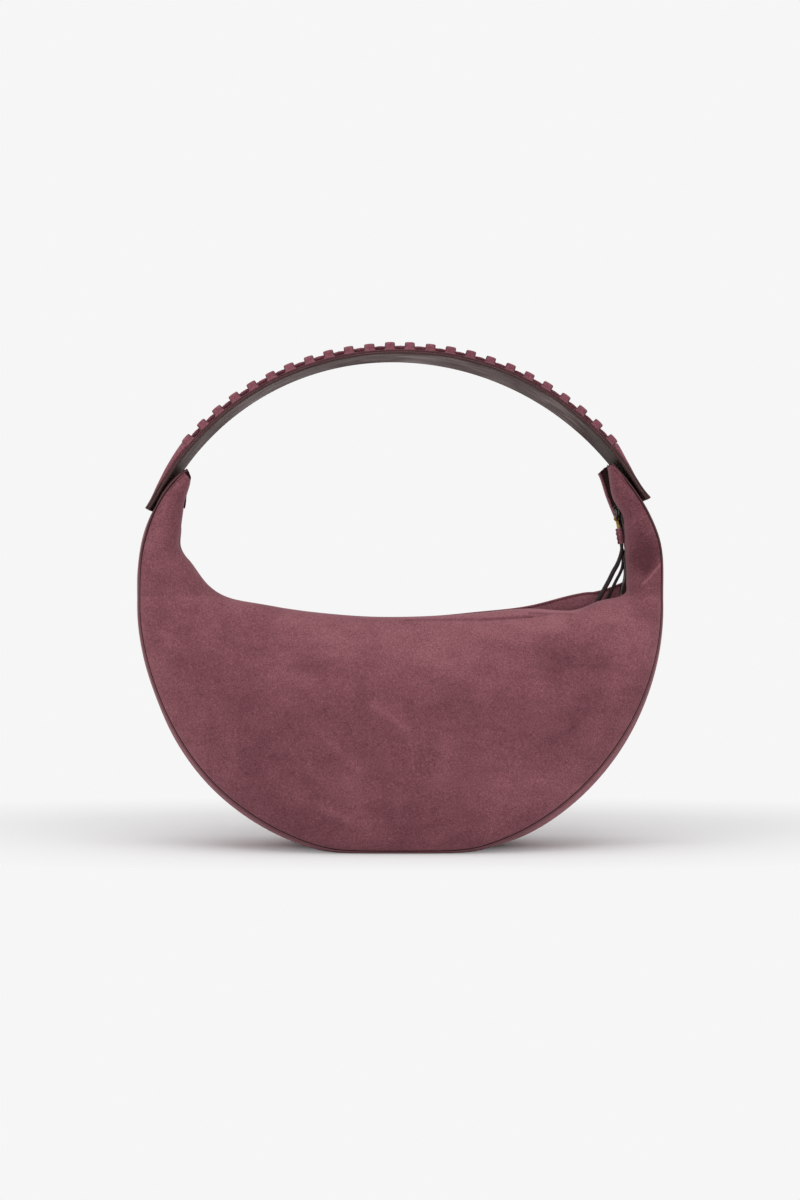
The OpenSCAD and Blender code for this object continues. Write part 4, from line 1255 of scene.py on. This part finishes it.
# Collar: a strip of suede wound once and a half round the strands; its free edge stands off, ruffled
collar = {
    "from": 25, "wound": 540, "innerR": 2.0, "growth": 0.62, "thick": 0.5, "freeFrom": 0.92, "freeSpan": 0.08,
    "pinches": ((0.22, 0.93, 0.1), (0.1, 0.05, 0.08)),  # depth, height and reach of each
    "waves": (0.8, 0.7, 0.35), "standOff": 0.5,  # the ruffle: even, in long waves, in short waves
    "dents": 0.08, "raggedTop": 0.09, "raggedFrom": 0.9, "low": 0.05, "top": 0.1,
    "tone": -0.1, "freeTone": -0.3, "toneFrom": 0.93, "toneSpan": 0.05,
}


def makeCollar():
    z = collar
    h, w = gridOf(np.linspace(0, 1, 60), np.linspace(0, 1, 150))
    angle = np.radians(z["from"]) + w * np.radians(z["wound"])
    even, long, short = z["waves"]
    ruffle = even + long * np.sin(h * 21) + short * np.sin(h * 47 + 1)
    ruffle = ease((w - z["freeFrom"]) / z["freeSpan"]) * ruffle
    waist = sum(-depth * np.exp(-((h - at) / reach) ** 2) for depth, at, reach in z["pinches"])
    dents = z["dents"] * np.sin(angle * 3 + h * 5)
    r = z["innerR"] + z["growth"] * w + waist + dents + ruffle * z["standOff"]
    up = h * pull["collarL"] + z["raggedTop"] * np.sin(angle * 2.3) * (h > z["raggedFrom"])
    up = np.clip(up, z["low"], pull["collarL"] - z["top"])
    grid = np.stack([r * np.cos(angle), r * np.sin(angle), up], -1)
    points = setIn(leanFrame(pull["collarEnd"], pull["collarLean"]), grid.reshape(-1, 3)).reshape(grid.shape)
    tone = z["tone"] + z["freeTone"] * ease((w - z["toneFrom"]) / z["toneSpan"])
    obj = leaf("pullCollar", points, z["thick"], [finishes["suede"]], flip=True, marks={"patch": tone})
    seatPiece(obj, "tassel", "suede", "pull_collar")


makePull()
makeCollar()
print("pull made")


# Handle

strap = {
    "w": 40, "crownDrop": 4.2, "endReach": 10.5, "reachPower": 1.6, "outer": 1.6, "core": 0.5, "lining": 1.1,
    "leftEnd": 160, "rightEnd": 22.4, "flare": 2, "leftFlare": 0.6, "flareSpan": 4, "leftTwist": -2,
    "rightTwist": 3.5, "fit": 0.1, "along": 620, "paintedRight": 40, "paintedLeft": 153.5,
    "darkRight": (52, 16, 0.85), "darkLeft": (138, 14, 0.5),  # painted shade from an angle, over, by so much
    "coreIn": 0.2, "liningLater": 0.4,
    "pairs": 12, "pitch": 15.3, "bridgeL": 6.6, "bridgeH": 6.3, "bridgeW": 33,
    "laceW": 23, "laceT": 3.4, "laceTuck": 0.12,
    "flapFrom": 54.6, "flapW": 36, "flapT": 1.2, "paintedFlap": 31,
}
crownR = bag["seamR"] - strap["crownDrop"]
bridgeR = crownR + strap["endReach"] / 4
bridgePitch = np.degrees(strap["pitch"] / bridgeR)


# Angle between the crown and the handle's end, on the side of angle a
def strapEnd(a):
    return np.where(a > 90, strap["leftEnd"] - 90, 90 - strap["rightEnd"])


# Radius of the handle: it grows by a power of the angle from the crown and flares at the end
def strapRadius(a):
    q = np.abs(a - 90)
    flare = np.where(a > 90, strap["leftFlare"], 1) * strap["flare"]
    flare = flare * clamp01((q - strapEnd(a) + strap["flareSpan"]) / strap["flareSpan"]) ** 2
    return crownR + strap["endReach"] * (q / 60) ** strap["reachPower"] + flare


# Twist in degrees: half a sine wave from the crown to each end
def twistAt(a):
    along = clamp01(np.abs(a - 90) / strapEnd(a))
    return np.where(a > 90, strap["leftTwist"], strap["rightTwist"]) * sind(180 * along)


# Point [x, z] at radius r and angle a about the middle of the bag
def polar(r, a):
    return np.stack([r * cosd(a), centreZ + r * sind(a)], -1)


# Point of the handle at angle a, y across it and n out from its face; its far edge drops with the twist
def strapPoint(a, y, n):
    a = np.asarray(a, float)
    d = 0.5
    run = polar(strapRadius(a + d), a + d) - polar(strapRadius(a - d), a - d)
    normal = unit(turned(run))
    r = strapRadius(a) - (y + strap["w"] / 2) * np.tan(np.radians(twistAt(a)))
    p = polar(r, a) + normal * np.asarray(n)[..., None]
    return np.stack([p[..., 0], np.broadcast_to(y, p.shape[:-1]), p[..., 1]], -1)


# Across shares crowded towards both edges
def crowded(count):
    return sind(90 * np.linspace(-1, 1, count))


# Slot of the rim's finish: 2, paint, towards the handle's ends, and 1 between
def paintedRims(a, right):
    middle = (a[1:] + a[:-1]) / 2
    return np.where((middle < right) | (middle > strap["paintedLeft"]), 2, 1)


# A layer of the handle from angle start to end, so thick under its top face; its rims lie inside its width
def strapSheet(name, node, slot, width, top, thick, start, end, rows, finishList, lift=None, tone=None,
               rimSlot=0, across=25):
    a, w = gridOf(np.linspace(start, end, rows), crowded(across))
    n = np.full(a.shape, float(top))
    if lift is not None:
        n = n + lift(a, w)
    marks = {"patch": tone(a)} if tone else None
    face = strapPoint(a, w * (width / 2 - thick / 2), n)
    sewn(name, node, slot, face, thick, finishList, flip=True, marks=marks, rimSlot=rimSlot)


# Angles of the bridges, at an even pitch to both sides of the crown
def bridgeAngles():
    k = np.arange(strap["pairs"]) + 0.5
    return np.concatenate([90 - k[::-1] * bridgePitch, 90 + k * bridgePitch])


# Angle a share of the way from a flap's inner edge to the handle's end; side 1 is the left
def flapAngle(side, share):
    end = strap["leftEnd"] - 90 if side > 0 else 90 - strap["rightEnd"]
    return 90 + side * (strap["flapFrom"] + share * (end - strap["flapFrom"]))


# The lace is drawn down under each bridge and swells between them; its face is a little ragged
lace = {
    "least": 0.35, "flatWave": 0.3, "edgeDrop": 0.4,
    "ragged": ((0.10, 3.0, 21), (0.14, 7.0, 22)),  # height, length and seed of each set of waves
    "perDegree": 22, "halfWidth": 11,  # stretch those waves along and across
}


def laceLift(a, w):
    centres = bridgeAngles()
    phase = (a - centres[0]) / bridgePitch
    inside = (a > centres[0] - bridgePitch) & (a < centres[-1] + bridgePitch)
    wave = np.where(inside, 0.5 - 0.5 * np.cos(2 * np.pi * phase), lace["flatWave"])
    ragged = sum(height * softWaves(a * lace["perDegree"], w * lace["halfWidth"], length, seed)
                 for height, length, seed in lace["ragged"])
    return (lace["least"] + wave) * (1 - lace["edgeDrop"] * np.abs(w) ** 3) + ragged


# Painted shade on the handle's lining towards each end, where it lies in shadow: how dark at angle a
def liningEndShade(a):
    (right, rightSpan, rightTone), (left, leftSpan, leftTone) = strap["darkRight"], strap["darkLeft"]
    return rightTone * ease((right - a) / rightSpan) + leftTone * ease((a - left) / leftSpan)


def makeStrap():
    z = strap
    a0, a1 = z["rightEnd"], z["leftEnd"]
    under = -z["outer"] - z["fit"]
    painted = paintedRims(np.linspace(a0, a1, z["along"]), z["paintedRight"])
    strapSheet("strapOuter", "strap_outer", "suede", z["w"], 0, z["outer"], a0, a1, z["along"],
               [finishes["strapSuede"], finishes["cutSuede"], finishes["edge"]], rimSlot=painted)
    strapSheet("strapCore", "strap_core", "lining_cloth", z["w"] - z["coreIn"], under, z["core"], a0, a1, 200,
               [finishes["seamLine"]])
    # the lining's tone mark is painted shade towards both ends of the handle
    strapSheet("strapLining", "strap_lining", "strap_leather", z["w"], under - z["core"] - z["fit"],
               z["lining"], a0 + z["liningLater"], a1, z["along"],
               [finishes["strapLining"], finishes["edge"]], tone=liningEndShade, rimSlot=1)
    strapSheet("strapLace", "strap_lace", "suede", z["laceW"], bag["seat"] + z["laceT"],
               z["laceT"] - z["fit"], flapAngle(-1, z["laceTuck"]), flapAngle(1, z["laceTuck"]), 1000,
               [finishes["lace"]], lift=laceLift, across=41)


# A bridge is a strip that leaves the handle's face, climbs a wall, crosses the lace and comes down again;
# its length along the handle flares towards both feet
bridge = {
    # half of its run over the lace: shares of half the width and of the height
    "shares": [(-1.13, -0.02), (-1.09, 0.02), (-1.045, 0.10), (-1.01, 0.30), (-0.99, 0.62), (-0.955, 0.85),
               (-0.87, 0.97), (-0.7, 1.0), (-0.35, 0.995), (0, 0.985)],
    "footFlare": 1.3, "flareHeight": 1.1, "narrow": 0.94, "thinner": 0.2,
    "curl": 0.22, "curlFrom": 3, "skewHalf": 17,
    # by how much the bridges differ at random: in width, height and length, and how far they lie askew
    "sizeRanges": ((-0.02, 0.02), (-0.04, 0.03), (-0.05, 0.05)), "skewRange": (-0.35, 0.35),
}


# Each bridge is the profile swept along the handle; all of them are joined into one piece
def makeBridges():
    z = bridge
    half = np.array(z["shares"])
    rows = np.concatenate([half, half[:-1][::-1] * (-1, 1)])
    profile = curveThrough(rows, np.linspace(0, len(rows) - 1, 61))
    w = np.linspace(-1, 1, 9)
    meshes = []
    for number, centre in enumerate(bridgeAngles()):
        wide, high, long = (1 + rng.uniform(*span) for span in z["sizeRanges"])
        y = profile[:, 0] * strap["bridgeW"] / 2 * wide
        n = profile[:, 1] * strap["bridgeH"] * high
        flare = z["footFlare"] * np.exp(-np.maximum(n, 0) / z["flareHeight"])
        reach = strap["bridgeL"] / 2 * z["narrow"] * long + flare
        skew = rng.uniform(*z["skewRange"]) * (y / z["skewHalf"])
        curl = -z["curl"] * np.abs(w[None]) ** 3 * clamp01(n / z["curlFrom"])[:, None]
        a = centre + np.degrees((w[None] * reach[:, None] + skew[:, None]) / bridgeR)
        grid = strapPoint(a, y[:, None], n[:, None] + curl + bag["seat"])
        meshes.append(leaf("bridge%02d" % number, grid, strap["outer"] - z["thinner"],
                           [finishes["strapSuede"], finishes["cutSuede"]], rimSlot=1))
    bpy.ops.object.select_all(action="DESELECT")
    for obj in meshes:
        obj.select_set(True)
    bpy.context.view_layer.objects.active = meshes[0]
    bpy.ops.object.join()
    whole = bpy.context.view_layer.objects.active
    whole.name = "strapBridges"
    seatPiece(whole, "bag", "suede", "strap_bridges")


# Flaps cover the ends of the lace and lie down on the handle towards its ends
flap = {
    "left": (1.0, 0.8), "right": (0.95, 2.2),  # height, and the power by which it falls to the end
    "lap": -0.04, "inset": 0.3, "taper": 5, "taperSpan": 0.75, "edgePower": 6,
    "uneven": 0.12, "stretch": (60, 18), "length": 22,  # waves of its face: height, stretch and length
}


def makeFlaps():
    for side, word in ((1, "left"), (-1, "right")):
        full, power = flap[word]
        share, w = gridOf(np.linspace(flap["lap"], 1, 90), crowded(37))
        fall = (1 - clamp01(share)) ** power
        rise = full * (strap["bridgeH"] - strap["outer"]) * fall * (1 - np.abs(w) ** flap["edgePower"])
        along, across = flap["stretch"]
        uneven = flap["uneven"] * softWaves(share * along, w * across, flap["length"], 31)
        n = bag["seat"] + strap["flapT"] + rise + uneven
        taper = flap["taper"] * ease(share / flap["taperSpan"])  # it draws in towards the handle's end
        grid = strapPoint(flapAngle(side, share), w * (strap["flapW"] / 2 - flap["inset"] - taper), n)
        sewn(word + "StrapFlap", word + "_strap_flap", "suede", grid, strap["flapT"],
             [finishes["strapSuede"], finishes["strapSuede"], finishes["edge"]], flip=side > 0, rims=5,
             rimSlot=paintedRims(flapAngle(side, share[:, 0]), strap["paintedFlap"]))


# Rows of stitches: short waxed threads, half sunk, at an even pitch
stitching = {
    "pitch": 3.3, "length": 2.5, "thick": 0.5, "soft": 0.5, "endGap": 0.6, "sink": 0.1, "lift": 0.02,
    "liningIn": 1.9, "outerIn": 1.0,  # how far the rows lie in from the handle's edge
}


# Threads at an even pitch along a path, lying in it, with their backs to up
def stitchRow(name, path, up):
    z = stitching
    run = walked(path)
    at = np.arange(z["pitch"], run[-1] - z["pitch"] / 2, z["pitch"])
    ahead = unit(readAt(at, run, np.gradient(path, axis=0)))
    rise = unit(readAt(at, run, up))
    side = np.cross(rise, ahead)
    shape, shapeFaces = roundedBlock(z["length"], z["thick"], z["thick"], z["soft"], sides=6)
    obj = copies(name, shape, shapeFaces, readAt(at, run, path), ahead, side, rise, finishes["thread"])
    seatPiece(obj, "bag", "edge_leather")


def makeStitches():
    z = stitching
    a = np.linspace(strap["rightEnd"] + z["endGap"], strap["leftEnd"] - z["endGap"], 500)
    lay = -strap["outer"] - strap["core"] - strap["lining"] - 2 * strap["fit"]
    for side, word in ((-1, "Near"), (1, "Far")):
        y = side * (strap["w"] / 2 - z["liningIn"]) + 0 * a
        path = strapPoint(a, y, lay + z["lift"] + 0 * a)
        stitchRow("liningStitch" + word, path, path - strapPoint(a, y, lay + 1 + 0 * a))
        path = strapPoint(a, side * (strap["w"] / 2 - z["outerIn"]) + 0 * a, -z["sink"] + 0 * a)
        stitchRow("outerStitch" + word, path, strapPoint(a, y, 1 + 0 * a) - strapPoint(a, y, 0 * a))


makeStrap()
makeBridges()
makeFlaps()
makeStitches()
print("handle made")


# Stage: a pale floor that takes the bag's shadow and fades into the backdrop

# 1 for rays from the camera, from gloss or through glass, which see the pale backdrop, and 0 for the rest
def seenBy(tree):
    path = addNode(tree, "LightPath").outputs
    return mathOf(tree, "MAXIMUM", path["Is Camera Ray"],
                  mathOf(tree, "MAXIMUM", path["Is Glossy Ray"], path["Is Transmission Ray"]))


# Puts out two shaders mixed by a share
def mixedOut(tree, share, first, second, kind):
    mix = addNode(tree, "MixShader", None, i0=share, i1=first.outputs[0], i2=second.outputs[0])
    addNode(tree, "Output" + kind, None, Surface=mix.outputs[0])


def makeFloor():
    size = studio["floorSize"] / 2
    corners = [(-size, -size, 0), (size, -size, 0), (size, size, 0), (-size, size, 0)]
    mesh = bpy.data.meshes.new("floor")
    mesh.from_pydata(corners, [], [(0, 1, 2, 3)])
    floor = bpy.data.objects.new("floor", mesh)
    bpy.context.collection.objects.link(floor)
    finish = bpy.data.materials.new("floorPaper")
    finish.use_nodes = True
    tree = finish.node_tree
    tree.nodes.clear()
    away = objectPlace(tree)
    for operation, by in (("SUBTRACT", studio["paperMiddle"]), ("MULTIPLY", studio["paperStretch"])):
        away = addNode(tree, "VectorMath", {"operation": operation}, i0=away, i1=by).outputs[0]
    away = addNode(tree, "VectorMath", {"operation": "LENGTH"}, i0=away).outputs["Value"]
    share = product(tree, rangeOf(tree, away, studio["paperNear"], studio["paperFar"]), seenBy(tree))
    paper = addNode(tree, "BsdfDiffuse", None, Color=studio["paper"])
    glow = addNode(tree, "Emission", None, Color=studio["paper"], Strength=1.0)
    mixedOut(tree, share, paper, glow, "Material")
    mesh.materials.append(finish)


def makeStage():
    makeFloor()
    world = bpy.data.worlds.new("studio")
    bpy.context.scene.world = world
    world.use_nodes = True
    tree = world.node_tree
    tree.nodes.clear()
    soft = addNode(tree, "Background", None, Color=(1, 1, 1, 1), Strength=studio["ambient"])
    shown = addNode(tree, "Background", None, Color=studio["paper"], Strength=1.0)
    mixedOut(tree, seenBy(tree), soft, shown, "World")
    for name, (place, (width, depth), watts) in studio["lamps"].items():
        data = bpy.data.lights.new(name, "AREA")
        data.shape = "RECTANGLE"
        data.size, data.size_y = width, depth
        data.energy = watts
        aimed(name, data, place, studio["aim"])


makeStage()
print("stage made")
